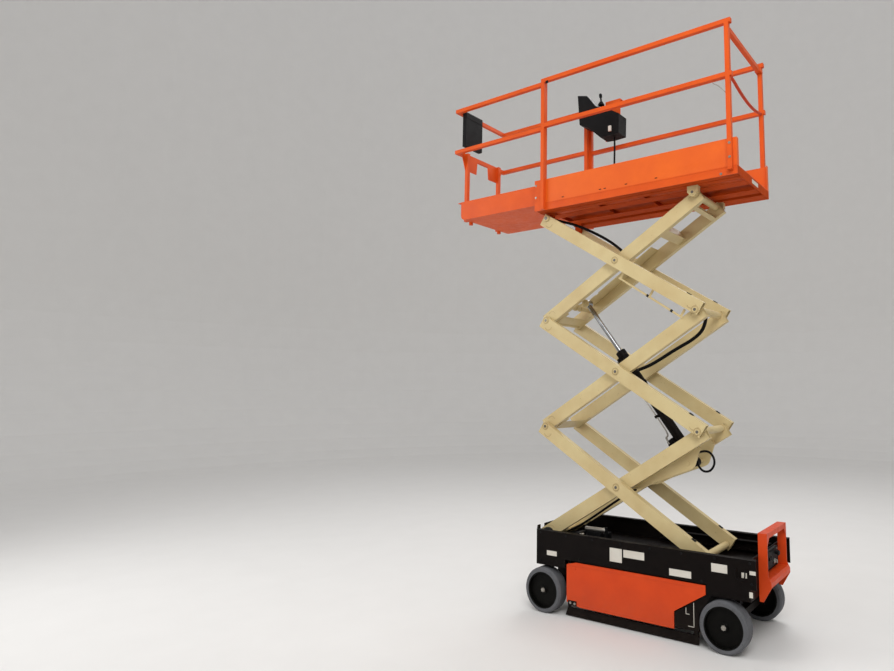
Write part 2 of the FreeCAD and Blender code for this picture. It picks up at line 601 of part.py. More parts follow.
BASE_PIN_X = "rear_x + base_pin_along * cos(rest_angle) - base_pin_below * sin(rest_angle)"
BASE_PIN_Z = "base_pin_z + rise - base_pin_along * sin(rest_angle) - base_pin_below * cos(rest_angle)"
ROD_PIN_X = "rear_x + rod_pin_along * cos(rest_angle) - rod_pin_below * sin(rest_angle)"
ROD_PIN_Z = "top_pin_z - rod_pin_along * sin(rest_angle) - rod_pin_below * cos(rest_angle)"
CYLINDER_RUN = f"({ROD_PIN_X} - ({BASE_PIN_X}))"
CYLINDER_RISE = f"({ROD_PIN_Z} - ({BASE_PIN_Z}))"
CYLINDER_ANGLE = f"atan({CYLINDER_RISE} / {CYLINDER_RUN})"
CYLINDER_LENGTH = f"({CYLINDER_RUN} / cos({CYLINDER_ANGLE}))"


def lay_cylinder(thing):
    """Turns a piece drawn along X from the base pin into its place."""
    thing.Placement = FreeCAD.Placement(FreeCAD.Vector(), FreeCAD.Rotation(FreeCAD.Vector(0, 1, 0), 10))
    bind(thing, Placement__Rotation__Angle=f"-{CYLINDER_ANGLE}")
    return put(thing, BASE_PIN_X, "0", BASE_PIN_Z)


base_ring = rod("base_eye", "y", "0", "-eye_width / 2", "0", "eye_radius", "eye_width")
base_bore = rod("base_bore", "y", "0", "-eye_width", "0", "cylinder_pin_radius + running_fit", "2 * eye_width")
barrel = fuse(
    "barrel_outside", base_ring,
    rod("barrel_neck", "x", "eye_radius / 2", "0", "0", "eye_width / 2 - lug_gap", "eye_radius"),
    rod("barrel_tube", "x", "eye_radius + moving_gap", "0", "0", "barrel_radius",
        "barrel_reach - eye_radius - moving_gap"),
    rod("gland", "x", "barrel_reach - gland_length", "0", "0", "gland_radius", "gland_length"),
)
cylinder_barrel = node(lay_cylinder(cut(
    "cylinder_barrel", barrel, base_bore,
    rod("barrel_bore", "x", "2 * eye_radius", "0", "0", "rod_radius + running_fit", "barrel_reach"),
)))
rod_ring = rod("rod_eye", "y", CYLINDER_LENGTH, "-eye_width / 2", "0", "eye_radius", "eye_width")
ROD_START = "(barrel_reach - rod_inside)"
cylinder_rod = node(lay_cylinder(fuse(
    "cylinder_rod", rod_ring,
    rod("rod_bar", "x", ROD_START, "0", "0", "rod_radius", f"{CYLINDER_LENGTH} - {ROD_START}"),
)))


# Axles

def axle_eye(name, sign):
    return rod(name, "z", "front_axle_x", f"{sign} * kingpin_y", "axle_beam_low_z", "kingpin_boss", "axle_beam_high")


def kingpin_bore(name, sign):
    return rod(name, "z", "front_axle_x", f"{sign} * kingpin_y", "axle_beam_low_z - plate",
               "kingpin_radius + running_fit", "axle_beam_high + 2 * plate")


def front_mount(name, sign):
    return box(name, "front_axle_x - axle_beam_deep", low_y(sign, "axle_mount_y - 2 * plate", "2 * plate"),
               "axle_beam_low_z", "2 * axle_beam_deep", "2 * plate", "arch_z - axle_beam_low_z")


def rear_mount(name, sign):
    return box(name, "rear_axle_x - axle_beam_deep", low_y(sign, "kingpin_y - 2 * plate", "2 * plate"),
               "axle_z - rear_beam_high / 2", "2 * axle_beam_deep", "2 * plate",
               "arch_z - axle_z + rear_beam_high / 2")


BEAM_Y = "(kingpin_y - kingpin_boss + plate)"
front_axle = node(cut(
    "front_axle",
    fuse("front_axle_solid",
         box("front_beam", "front_axle_x - axle_beam_deep / 2", f"-{BEAM_Y}", "axle_beam_low_z", "axle_beam_deep",
             f"2 * {BEAM_Y}", "axle_beam_high"),
         *sides("axle_eye", axle_eye), *sides("front_mount", front_mount)),
    *sides("kingpin_bore", kingpin_bore),
))
rear_axle = node(fuse(
    "rear_axle",
    box("rear_beam", "rear_axle_x - rear_beam_high / 2", "-kingpin_y - 2 * plate", "axle_z - rear_beam_high / 2",
        "rear_beam_high", "kingpin_track + 4 * plate", "rear_beam_high"),
    rod("rear_stubs", "y", "rear_axle_x", "-(wheel_in_y + stub_depth)", "axle_z", "stub_radius",
        "2 * (wheel_in_y + stub_depth)"),
    *sides("rear_mount", rear_mount),
))


# Steering knuckles with their kingpins, stubs, motors and steering arms

EAR_LOW_Z = "(axle_beam_low_z - seat_gap - ear_thick)"
EAR_TOP_Z = "(axle_beam_low_z + axle_beam_high + seat_gap)"
KNUCKLE_Y = "(kingpin_y + axle_beam_deep / 2)"


def knuckle(name, sign):
    x = "front_axle_x - ear_wide / 2"
    ears_y = low_y(sign, "kingpin_y", "axle_beam_deep / 2 + 2 * plate")
    pieces = []
    for place, z in (("low", EAR_LOW_Z), ("top", EAR_TOP_Z)):
        pieces.append(box(f"{name}_{place}_ear", x, ears_y, z, "ear_wide", "axle_beam_deep / 2 + 2 * plate",
                          "ear_thick"))
        pieces.append(rod(f"{name}_{place}_eye", "z", "front_axle_x", f"{sign} * kingpin_y", z, "ear_wide / 2",
                          "ear_thick"))
    pieces.append(box(f"{name}_plate", x, low_y(sign, KNUCKLE_Y, "2 * plate"), EAR_LOW_Z, "ear_wide", "2 * plate",
                      f"{EAR_TOP_Z} + ear_thick - {EAR_LOW_Z}"))
    pieces.append(rod(f"{name}_kingpin", "z", "front_axle_x", f"{sign} * kingpin_y", EAR_LOW_Z, "kingpin_radius",
                      f"{EAR_TOP_Z} + ear_thick + plate - {EAR_LOW_Z}"))
    stub = "wheel_in_y + stub_depth - kingpin_y - axle_beam_deep / 2"
    pieces.append(rod(f"{name}_stub", "y", "front_axle_x", low_y(sign, KNUCKLE_Y, stub), "axle_z", "stub_radius",
                      stub))
    motor = "2 * plate + motor_reach"
    pieces.append(rod(f"{name}_motor", "y", "front_axle_x", low_y(sign, KNUCKLE_Y, motor), "axle_z", "motor_radius",
                      motor))
    arm_x = "front_axle_x - steer_arm_reach"
    pieces.append(box(f"{name}_steer_arm", arm_x, f"{sign} * kingpin_y - ear_wide / 4", f"{EAR_LOW_Z} - ear_thick",
                      "steer_arm_reach", "ear_wide / 2", "ear_thick"))
    pieces.append(rod(f"{name}_steer_root", "z", "front_axle_x", f"{sign} * kingpin_y", f"{EAR_LOW_Z} - ear_thick",
                      "ear_wide / 2", "ear_thick"))
    pieces.append(rod(f"{name}_steer_end", "z", arm_x, f"{sign} * kingpin_y", f"{EAR_LOW_Z} - ear_thick",
                      "tie_eye_radius", "ear_thick"))
    pieces.append(rod(f"{name}_steer_pin", "z", arm_x, f"{sign} * kingpin_y",
                      f"{EAR_LOW_Z} - ear_thick - seat_gap - tie_bar_thick", "steer_pin_radius",
                      "seat_gap + tie_bar_thick + ear_thick"))
    return fuse(name, *pieces)


for piece in sides("knuckle", knuckle):
    node(piece)


TIE_Z = f"({EAR_LOW_Z} - ear_thick - seat_gap - tie_bar_thick)"


def tie_eye(name, sign):
    return rod(name, "z", "front_axle_x - steer_arm_reach", f"{sign} * kingpin_y", TIE_Z, "tie_eye_radius",
               "tie_bar_thick")


def tie_bore(name, sign):
    return rod(name, "z", "front_axle_x - steer_arm_reach", f"{sign} * kingpin_y", f"{TIE_Z} - plate",
               "steer_pin_radius + running_fit", "tie_bar_thick + 2 * plate")


tie_bar = node(cut(
    "tie_bar",
    fuse("tie_bar_solid",
         box("tie_strip", "front_axle_x - steer_arm_reach - tie_bar_thick", "-kingpin_y", TIE_Z, "2 * tie_bar_thick",
             "kingpin_track", "tie_bar_thick"),
         *sides("tie_eye", tie_eye)),
    *sides("tie_bore", tie_bore),
))


# Wheels: half sections as radius and distance from the inner face

TYRE = [
    ("rim_radius", "0"), ("tyre_radius - tyre_shoulder", "0"), ("tyre_radius", "tyre_shoulder"),
    ("tyre_radius", "tyre_width - tyre_shoulder"), ("tyre_radius - tyre_shoulder", "tyre_width"),
    ("rim_radius", "tyre_width"),
]
STUB_BORE = "stub_radius + running_fit"
RIM = [
    (STUB_BORE, "rim_back - hub_reach"), ("hub_radius", "rim_back - hub_reach"), ("hub_radius", "rim_back"),
    ("rim_radius - rim_lip", "rim_back"), ("rim_radius - rim_lip", "0"), ("rim_radius", "0"),
    ("rim_radius", "tyre_width"), ("rim_radius - rim_lip", "tyre_width"),
    ("rim_radius - rim_lip", "tyre_width - rim_dish"), ("hub_radius", "tyre_width - rim_dish"),
    ("hub_radius", "tyre_width - hub_inset"), ("0", "tyre_width - hub_inset"), ("0", "stub_depth + plate / 2"),
    (STUB_BORE, "stub_depth + plate / 2"),
]
for end, x in (("front", "front_axle_x"), ("rear", "rear_axle_x")):
    for side, sign in (("left", 1), ("right", -1)):
        for part, section in (("rim", RIM), ("tyre", TYRE)):
            node(spun(f"{part}_{end}_{side}", section, sign, x, f"{sign} * wheel_in_y", "axle_z"))


# Swing-out doors, each with its tray and batteries

DOOR = [
    (mid("door_front"), "door_front_top_z"), (mid("door_front - door_front_slope"), "door_top_z"),
    (mid("-door_rear"), "door_top_z"), (mid("-door_rear"), "door_rear_low_z"), (mid("-door_notch"), "door_notch_z"),
    (mid("-door_notch"), "door_low_z"), (mid("door_front - door_corner"), "door_low_z"),
    (mid("door_front"), "door_front_low_z"),
]


def door(name, sign):
    sheet_part = prism(f"{name}_sheet", "XZ_Plane", DOOR, low_y(sign, "chassis_y - plate", "plate"), "plate")
    leaf_y = low_y(sign, "hinge_y", "hinge_inset + plate / 2")
    leaf = box(f"{name}_leaf", mid("hinge_x - hinge_radius"), leaf_y, "front_wall_z + 2 * plate", "2 * hinge_radius",
               "hinge_inset + plate / 2", "door_front_top_z - front_wall_z - 3 * plate")
    pin = rod(f"{name}_pin", "z", mid("hinge_x"), f"{sign} * hinge_y", "front_wall_z", "hinge_radius",
              "door_top_z - plate - front_wall_z")
    return fuse(name, sheet_part, leaf, pin)


def tray(name, sign):
    """An open tray on the inside of its door."""
    length = "tray_front + tray_rear"
    deep = "chassis_y - plate - tray_in_y"
    y = low_y(sign, "tray_in_y", deep)
    solid = box(f"{name}_solid", mid("-tray_rear"), y, "tray_low_z", length, deep, "tray_lip")
    room_deep = f"{deep} - 2 * tray_plate"
    room = box(f"{name}_room", mid("tray_plate - tray_rear"), low_y(sign, "tray_in_y + tray_plate", room_deep),
               "tray_low_z + tray_plate", f"{length} - 2 * tray_plate", room_deep, "tray_lip")
    return cut(name, solid, room)


def batteries(name, sign):
    """Three plain blocks in a row and the strap that holds them down."""
    y = low_y(sign, "tray_in_y + 2 * tray_plate", "battery_width")
    pieces = [box(f"{name}_{k + 1}", mid(f"2 * tray_plate - tray_rear + {k} * (battery_length + battery_gap)"), y,
                  "tray_low_z + tray_plate", "battery_length", "battery_width", "battery_height")
              for k in range(3)]
    strap_y = low_y(sign, "tray_in_y + battery_width / 2", "4 * tray_plate")
    strap = box(f"{name}_strap", mid("2 * tray_plate - tray_rear"), strap_y, "tray_low_z + battery_height",
                "3 * battery_length + 2 * battery_gap", "4 * tray_plate", "2 * tray_plate")
    return fuse(name, *pieces, strap)


for make, name in ((door, "door"), (tray, "tray"), (batteries, "batteries")):
    for piece in sides(name, make):
        node(piece)


# Pothole bars below the doors, drawn down

BAR = [
    (mid("bar_front"), "bar_low_z"), (mid("bar_front - bar_slant"), "bar_low_z + bar_height"),
    (mid("-bar_rear"), "bar_low_z + bar_height"), (mid("-bar_rear"), "bar_low_z"),
]


def pothole_bar(name, sign):
    y = low_y(sign, "bar_out_y - bar_plate", "bar_plate")
    pieces = [prism(f"{name}_plate", "XZ_Plane", BAR, y, "bar_plate")]
    for place, x in (("front", "bar_front - bar_slant - bar_link_wide"), ("rear", "moving_gap - bar_rear")):
        pieces.append(box(f"{name}_{place}_link", mid(x), y, "bar_low_z", "bar_link_wide", "bar_plate",
                          "bar_link_top_z - bar_low_z"))
    return fuse(name, *pieces)


for piece in sides("pothole_bar", pothole_bar):
    node(piece)


# Ladder and the ground panel at the rear

LADDER_SIDE = [
    (mid("rear_wall"), "ladder_top_z"), (mid("rear_wall - ladder_deep"), "ladder_top_z"),
    (mid("rear_wall - ladder_deep"), "step_top_z + step_round"), (mid("rear_wall - ladder_nose"), "step_top_z - step_round"),
    (mid("rear_wall - ladder_nose"), "step_low_z"), (mid("rear_wall - ladder_toe"), "ladder_low_z"),
    (mid("rear_wall"), "ladder_low_z"),
]
# Sections of the folded treads, along the machine
LOW_STEP = [
    (mid("rear_wall"), "step_top_z"), (mid("rear_wall - ladder_nose + step_round / 2"), "step_top_z"),
    (mid("rear_wall - ladder_nose"), "step_top_z - step_round"), (mid("rear_wall - ladder_nose"), "step_low_z"),
    (mid("rear_wall - ladder_nose + ladder_plate"), "step_low_z"),
    (mid("rear_wall - ladder_nose + ladder_plate"), "step_top_z - step_round"),
    (mid("rear_wall - ladder_nose + ladder_plate + step_round / 2"), "step_top_z - ladder_plate"),
    (mid("rear_wall"), "step_top_z - ladder_plate"),
]
TOP_STEP = [
    (mid("rear_wall"), "ladder_top_z"), (mid("rear_wall - ladder_deep"), "ladder_top_z"),
    (mid("rear_wall - ladder_deep"), "ladder_top_z - step_lip"),
    (mid("rear_wall - ladder_deep + ladder_plate"), "ladder_top_z - step_lip"),
    (mid("rear_wall - ladder_deep + ladder_plate"), "ladder_top_z - ladder_plate"),
    (mid("rear_wall"), "ladder_top_z - ladder_plate"),
]


def stile(name, sign):
    y = low_y(sign, "ladder_width / 2 - ladder_plate", "ladder_plate")
    return prism(name, "XZ_Plane", LADDER_SIDE, y, "ladder_plate")


def step_gusset(name, sign):
    """The corner that widens a side below the top step."""
    inner = f"{sign} * (ladder_width / 2 - ladder_plate)"
    corners = [(inner, "ladder_top_z - ladder_plate"), (inner, "ladder_top_z - step_lip - step_corner"),
               (f"{inner} - {sign} * step_corner", "ladder_top_z - step_lip"),
               (f"{inner} - {sign} * step_corner", "ladder_top_z - ladder_plate")]
    return prism(name, "YZ_Plane", corners, mid("rear_wall - ladder_deep"), "ladder_plate")


ladder = node(fuse(
    "ladder", *sides("stile", stile), *sides("step_gusset", step_gusset),
    prism("low_step", "XZ_Plane", LOW_STEP, "-ladder_width / 2", "ladder_width"),
    prism("top_step", "XZ_Plane", TOP_STEP, "-ladder_width / 2", "ladder_width"),
))
control_panel = node(box(
    "ground_panel", mid("rear_wall - panel_deep"), "-panel_width / 2", "panel_low_z", "panel_deep", "panel_width",
    "panel_high",
))


# Platform deck: frame with slide tracks and front brackets, and the folded tread sheet

SHEET_LOW_Z = "(floor_z - deck_sheet)"
DECK_LENGTH = "(deck_rear + deck_front)"


def deck_beam(name, sign):
    flange = "arm_wide + 2 * arm_gap - 1"
    low = box(f"{name}_flange", mid("-deck_rear"), low_y(sign, "inner_arm_y", flange), "deck_low_z", DECK_LENGTH,
              flange, "plate")
    web = box(f"{name}_web", mid("-deck_rear"), low_y(sign, "inner_arm_y", "plate"), "deck_low_z", DECK_LENGTH,
              "plate", f"{SHEET_LOW_Z} - deck_low_z")
    return fuse(name, low, web)


def deck_bracket(name, sign):
    """A bracket at a top front pin, in the plane of the inner arms, with its pin."""
    y = low_y(sign, "inner_arm_y - bracket_plate", "bracket_plate")
    plate = box(f"{name}_plate", "front_x - bracket_half", y, "top_pin_z", "2 * bracket_half", "bracket_plate",
                f"{SHEET_LOW_Z} - cross_beam - top_pin_z")
    head = rod(f"{name}_round", "y", "front_x", y, "top_pin_z", "bracket_half", "bracket_plate")
    reach = "arm_gap + arm_wide + seat_gap"
    pin = rod(f"{name}_pin", "y", "front_x", low_y(sign, "inner_arm_y", reach), "top_pin_z", "pin_radius", reach)
    cap = rod(f"{name}_cap", "y", "front_x", low_y(sign, "arm_outer_y + seat_gap", "pin_head"), "top_pin_z",
              "pin_head_radius", "pin_head")
    return fuse(name, plate, head, pin, cap)


def cross_beam(name, x):
    return box(name, mid(x), "-inner_arm_y", f"{SHEET_LOW_Z} - cross_beam", "plate", "2 * inner_arm_y", "cross_beam")


deck_frame = node(fuse(
    "deck_frame", *sides("deck_beam", deck_beam), *sides("deck_bracket", deck_bracket),
    box("deck_end", mid("-deck_rear"), "deck_sheet - deck_y", "deck_low_z", "plate", "2 * (deck_y - deck_sheet)",
        f"{SHEET_LOW_Z} - deck_low_z"),
    *[cross_beam(f"cross_beam_{k}", x) for k, x in enumerate(
        ("deck_front - plate", "deck_front - 0.28 * " + DECK_LENGTH, "deck_front - 0.52 * " + DECK_LENGTH,
         "deck_front - 0.76 * " + DECK_LENGTH), start=1)],
))


def skirt(name, sign):
    return box(name, mid("-deck_rear"), low_y(sign, "deck_y - deck_sheet", "deck_sheet"), "deck_low_z", DECK_LENGTH,
               "deck_sheet", "deck_skirt")


def guide(name, sign):
    """The plate outside the deck's front end that guides the roll-out deck."""
    return box(name, mid("post_front"), low_y(sign, "deck_y", "guide_plate"), "deck_low_z",
               "deck_front - post_front", "guide_plate", "deck_skirt + toe_high")


deck_floor = node(fuse(
    "deck_floor",
    box("tread_sheet", mid("-deck_rear"), "-deck_y", SHEET_LOW_Z, DECK_LENGTH, "2 * deck_y", "deck_sheet"),
    *sides("skirt", skirt), *sides("guide", guide),
    box("slide_pad", mid("deck_front - pad_long"), "ext_sheet - ext_y", "floor_z", "pad_long",
        "2 * (ext_y - ext_sheet)", "pad_thick"),
))


def toe_board(name, sign):
    """One side's toe board and its narrow return at the rear."""
    along = box(f"{name}_side", mid("-deck_rear"), low_y(sign, "deck_y - deck_sheet", "deck_sheet"), "floor_z",
                DECK_LENGTH, "deck_sheet", "toe_high")
    back = box(f"{name}_back", mid("-deck_rear"), low_y(sign, "deck_y - toe_return", "toe_return"),
               "floor_z", "deck_sheet", "toe_return", "toe_high")
    return fuse(name, along, back)


for piece in sides("toe_board", toe_board):
    node(piece)


# Guard rails of the platform, outside its sheets, with the hinge and the saddle of the gate bar

GATE_Z = "(rail_top_z - gate_drop - rail_tube)"
GATE_PIN_Z = f"({GATE_Z} + rail_tube / 2)"
GATE_LENGTH = "deck_y - moving_gap - gate_end / 2 + gate_hinge_y + gate_end"


def guard_rail(name, sign):
    """One side: two posts, the top and the middle rail, and what holds the gate bar."""
    y = low_y(sign, "deck_y", "rail_tube")
    posts = [("front", "post_front - rail_tube", "deck_low_z"),
             ("rear", "-rear_post - rail_tube / 2", "floor_z - rear_post_drop")]
    pieces = [box(f"{name}_{place}_post", mid(x), y, foot, "rail_tube", "rail_tube", f"rail_top_z - ({foot})")
              for place, x, foot in posts]
    for place, z in (("top", "rail_top_z - rail_tube"), ("mid", "mid_rail_z")):
        pieces.append(box(f"{name}_{place}", mid("-rail_rear"), y, z, "rail_rear + post_front", "rail_tube",
                          "rail_tube"))
    if sign > 0:
        pieces.append(box(f"{name}_saddle", mid("-rear_post - rail_tube / 2"), "deck_y - saddle_reach",
                          f"{GATE_Z} - moving_gap - plate", "rail_tube", "saddle_reach", "plate"))
        return fuse(name, *pieces)
    for place, x in (("rear", "-rear_post - rail_tube / 2 - plate"), ("front", "-rear_post + rail_tube / 2")):
        pieces.append(box(f"{name}_{place}_cheek", mid(x), "-gate_hinge_y + gate_end - gate_cheek - gate_end", GATE_Z,
                          "plate", "gate_cheek + gate_end", "rail_tube"))
    pieces.append(rod(f"{name}_gate_pin", "x", mid("-rear_post - rail_tube / 2 - plate"), "-gate_hinge_y", GATE_PIN_Z,
                      "gate_pin_radius", "rail_tube + 2 * plate"))
    hook_y = "-deck_y - rail_tube"
    pieces.append(box(f"{name}_hook_seat", mid("hook_rear"), hook_y, "rail_top_z", "hook_length", "rail_tube",
                      "hook_plate"))
    pieces.append(box(f"{name}_hook_top", mid("hook_rear"), hook_y, "rail_top_z + hook_plate", "hook_length",
                      "deck_y + rail_tube - control_out_y", "hook_plate"))
    pieces.append(box(f"{name}_hook_side", mid("hook_rear"), "-control_out_y - hook_plate",
                      "rail_top_z + 2 * hook_plate - hook_drop", "hook_length", "hook_plate", "hook_drop"))
    return fuse(name, *pieces)


for piece in sides("guard_rail", guard_rail):
    node(piece)


# Gate bar, hinged at its right end about a pin along the machine

rear_gate = node(cut(
    "rear_gate",
    box("gate_bar", mid("-rear_post - rail_tube / 2 + plate / 6"), "-gate_hinge_y - gate_end", GATE_Z,
        "rail_tube - plate / 3", GATE_LENGTH, "rail_tube"),
    rod("gate_bore", "x", mid("-rear_post - rail_tube"), "-gate_hinge_y", GATE_PIN_Z,
        "gate_pin_radius + running_fit", "2 * rail_tube"),
))


# Roll-out deck: a pan of folded sheet with a rounded front corner, side lips and a front flange

EXT_REAR = "(deck_front - ext_overlap)"
CORNER_STEPS = 4


def corner_arc(inset):
    """Corners along the pan's rounded front edge, from the floor up, set in from its outer face."""
    radius = f"(ext_corner - {inset})"
    angles = [90 * k / CORNER_STEPS for k in range(CORNER_STEPS + 1)]
    return [(mid(f"ext_front - ext_corner + {radius} * sin({angle})"),
             f"ext_floor_z + ext_corner - {radius} * cos({angle})") for angle in angles]


LIP_TOP_Z = "(ext_floor_z + ext_lip_high)"
LIP = [(mid(EXT_REAR), "ext_floor_z"), *corner_arc("0"), (mid("ext_front"), LIP_TOP_Z), (mid(EXT_REAR), LIP_TOP_Z)]
PAN = [
    (mid(EXT_REAR), "ext_floor_z"), *corner_arc("0"), (mid("ext_front"), LIP_TOP_Z),
    (mid("ext_front - ext_sheet"), LIP_TOP_Z), *reversed(corner_arc("ext_sheet")),
    (mid(EXT_REAR), "ext_floor_z + ext_sheet"),
]


def ext_lip(name, sign):
    return prism(name, "XZ_Plane", LIP, low_y(sign, "ext_y - ext_sheet", "ext_sheet"), "ext_sheet")


def post_slot(name, sign):
    """Room for one front post in the flange."""
    return box(name, mid("ext_front"), f"{sign} * front_post_y - rail_tube / 2 - seat_gap", "ext_floor_z + ext_corner",
               "rail_tube + 2 + seat_gap", "rail_tube + 2 * seat_gap", "ext_lip_high")


def bumper(name, sign):
    return rod(name, "z", mid("ext_front - bumper_radius"), f"{sign} * bumper_y", "ext_floor_z - bumper_high",
               "bumper_radius", "bumper_high + ext_corner / 2")


ext_deck = node(cut(
    "ext_deck",
    fuse("ext_pan", prism("pan_sheet", "XZ_Plane", PAN, "-ext_y", "ext_width"), *sides("ext_lip", ext_lip),
         box("front_flange", mid("ext_front"), "ext_sheet - ext_y", f"{LIP_TOP_Z} - ext_sheet", "ext_flange",
             "2 * (ext_y - ext_sheet)", "ext_sheet"),
         box("ext_pad", mid(EXT_REAR), "ext_sheet - ext_y", "floor_z + seat_gap", "pad_long",
             "2 * (ext_y - ext_sheet)", "moving_gap"),
         *sides("bumper", bumper)),
    *sides("post_slot", post_slot),
))


# Guard rails of the roll-out deck, between its lips and those of the platform, and its front frame

EXT_FOOT_Z = "(ext_floor_z + ext_post_low)"
RAIL_HEIGHTS = [("top", "rail_top_z - rail_tube"), ("mid", "mid_rail_z")]


def ext_rail(name, sign):
    y = low_y(sign, "ext_y", "rail_tube")
    start = mid("ext_rear_post - rail_tube")
    pieces = [box(f"{name}_rear_post", start, y, EXT_FOOT_Z, "rail_tube", "rail_tube", f"rail_top_z - {EXT_FOOT_Z}")]
    for place, z in RAIL_HEIGHTS:
        pieces.append(box(f"{name}_{place}", start, y, z, "ext_reach - ext_rear_post + rail_tube", "rail_tube",
                          "rail_tube"))
    return fuse(name, *pieces)


def front_post(name, sign):
    return box(name, mid("ext_front + 2"), f"{sign} * front_post_y - rail_tube / 2", "ext_floor_z + ext_post_low / 2",
               "rail_tube", "rail_tube", "mid_rail_z + rail_tube - ext_floor_z - ext_post_low / 2")


def front_stay(name, sign):
    """The tapered plate between the middle rail and one front post."""
    corners = [(f"{sign} * stay_top_in", "mid_rail_z + rail_tube"), (f"{sign} * stay_top_out", "mid_rail_z + rail_tube"),
               (f"{sign} * stay_low_out", "mid_rail_z + rail_tube - stay_high"),
               (f"{sign} * stay_low_in", "mid_rail_z + rail_tube - stay_high")]
    return prism(name, "YZ_Plane", corners, mid("ext_front + 2 + rail_tube - ext_sheet"), "ext_sheet")


for piece in sides("ext_rail", ext_rail):
    node(piece)
ext_front_rail = node(fuse(
    "ext_front_rail",
    *[box(f"front_{place}", mid("ext_reach - rail_tube"), "-ext_y", z, "rail_tube", "ext_width", "rail_tube")
      for place, z in RAIL_HEIGHTS],
    *sides("front_post", front_post), *sides("front_stay", front_stay),
))


# Platform control box inside the right rail and the document box behind the front rail

# Corners of the control box with its raised console: along from the middle of the wheelbase, below the rails' top
CONTROL = [
    ("760", "-74"), ("664", "-49"), ("570", "69"), ("436", "130"), ("340", "191"), ("345", "361"), ("450", "366"),
    ("530", "361"), ("645", "251"), ("740", "201"),
]
control_box = node(prism(
    "control_box", "XZ_Plane", [(mid(x), f"rail_top_z - ({drop})") for x, drop in CONTROL], "-control_out_y",
    "control_out_y - control_in_y",
))
document_box = node(box(
    "document_box", mid("ext_reach - rail_tube - document_deep"), "document_y", "rail_top_z - document_drop",
    "document_deep", "document_wide", "document_drop - 2 * moving_gap",
))

doc.recompute()
for thing in doc.Objects:
    if "Invalid" in thing.State or "Error" in thing.State:
        raise RuntimeError(f"{thing.Label} did not build: {thing.State}")
for thing in NODES:
    if thing.Shape.isNull() or not thing.Shape.isValid():
        raise RuntimeError(f"{thing.Label} has no valid shape")

os.makedirs("parts", exist_ok=True)
for thing in NODES:
    thing.Shape.exportStep(f"parts/{thing.Label}.step")
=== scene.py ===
# %% [markdown]
# A slab scissor lift with its platform raised and its roll-out deck pushed out.
# The imported model already has every main piece in its real place and size, so this lesson only adds
# what solids leave out: finishes, bolts, welds, hoses, labels, wheels' small parts and the light.
# The first cell loads that frame.

# %% Load the frame
import math

import bmesh
import bpy
from mathutils import Matrix, Vector


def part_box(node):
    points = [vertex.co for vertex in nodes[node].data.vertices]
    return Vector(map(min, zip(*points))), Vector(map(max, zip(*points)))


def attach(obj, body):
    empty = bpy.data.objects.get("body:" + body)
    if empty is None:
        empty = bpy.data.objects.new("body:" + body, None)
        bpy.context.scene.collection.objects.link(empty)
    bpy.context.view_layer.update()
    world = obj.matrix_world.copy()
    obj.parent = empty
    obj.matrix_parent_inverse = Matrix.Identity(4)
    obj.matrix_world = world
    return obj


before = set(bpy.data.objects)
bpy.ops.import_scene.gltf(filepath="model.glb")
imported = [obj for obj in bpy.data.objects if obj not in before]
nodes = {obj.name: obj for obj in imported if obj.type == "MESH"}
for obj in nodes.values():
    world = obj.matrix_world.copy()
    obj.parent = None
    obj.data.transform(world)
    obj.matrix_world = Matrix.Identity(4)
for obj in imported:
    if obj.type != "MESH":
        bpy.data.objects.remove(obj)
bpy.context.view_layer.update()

# %% [markdown]
# Places that many pieces share are worked out once here: the wheels, the pins of the six scissor
# frames and their slope. Reading them from the boxes of the nodes keeps the looks on the solids.

# %% Places
WHEELS = {}
for end in ("front", "rear"):
    for side, sign in (("left", 1), ("right", -1)):
        low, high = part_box(f"tyre_{end}_{side}")
        mid_x, mid_z = (low.x + high.x) / 2, (low.z + high.z) / 2
        WHEELS[(end, side)] = Vector((mid_x, sign * max(abs(low.y), abs(high.y)), mid_z))
SLOPE = math.radians(33.3)
SPAN = 1.528
RISE = SPAN * math.sin(SLOPE)
SLIDE_HALF = 0.040
FRONT_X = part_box("slide_block_left")[0].x + SLIDE_HALF + SPAN * math.cos(SLOPE)
REAR_X = FRONT_X - SPAN * math.cos(SLOPE)
LOW_PIN_Z = 0.517
PINS = (0.0, SPAN / 2, SPAN)  # places of the three pins along an arm
INNER_FACE_Y, OUTER_FACE_Y, PIN_HEAD_Y = 0.2212, 0.2722, 0.2774
print("pins", round(FRONT_X, 3), round(REAR_X, 3), "rise", round(RISE, 3))


def on_arm(stage, kind, along, above, y):
    """A place on an arm, measured along its pin line and above it."""
    turn = -SLOPE if kind == "inner" else SLOPE
    start = LOW_PIN_Z + (stage if kind == "inner" else stage - 1) * RISE
    return Vector((REAR_X + along * math.cos(turn) - above * math.sin(turn), y,
                   start + along * math.sin(turn) + above * math.cos(turn)))


# %% [markdown]
# Paint is never one flat colour: it fades, gathers dust and its gloss changes from place to place.
# Each finish is a small tree on Object coordinates: a broad noise shifts the colour, a fine one adds
# specks, a third drives roughness, and a bump gives orange peel or grain. Numbers that don't vary
# sit on the shader itself.

# %% Finishes
FINISHES = {}


def linear(colour):
    """Turns an 0 to 255 screen colour into the linear one that the shader takes."""
    parts = [c / 255 for c in colour]
    return tuple(c / 12.92 if c <= 0.04045 else ((c + 0.055) / 1.055) ** 2.4 for c in parts) + (1,)


def noise(tree, where, scale, detail, rough=0.55):
    cloud = tree.nodes.new("ShaderNodeTexNoise")
    cloud.inputs["Scale"].default_value = scale
    cloud.inputs["Detail"].default_value = detail
    cloud.inputs["Roughness"].default_value = rough
    tree.links.new(where, cloud.inputs["Vector"])
    return cloud


def span(tree, source, low, high, to_low, to_high):
    fit = tree.nodes.new("ShaderNodeMapRange")
    for socket, value in (("From Min", low), ("From Max", high), ("To Min", to_low), ("To Max", to_high)):
        fit.inputs[socket].default_value = value
    tree.links.new(source, fit.inputs["Value"])
    return fit


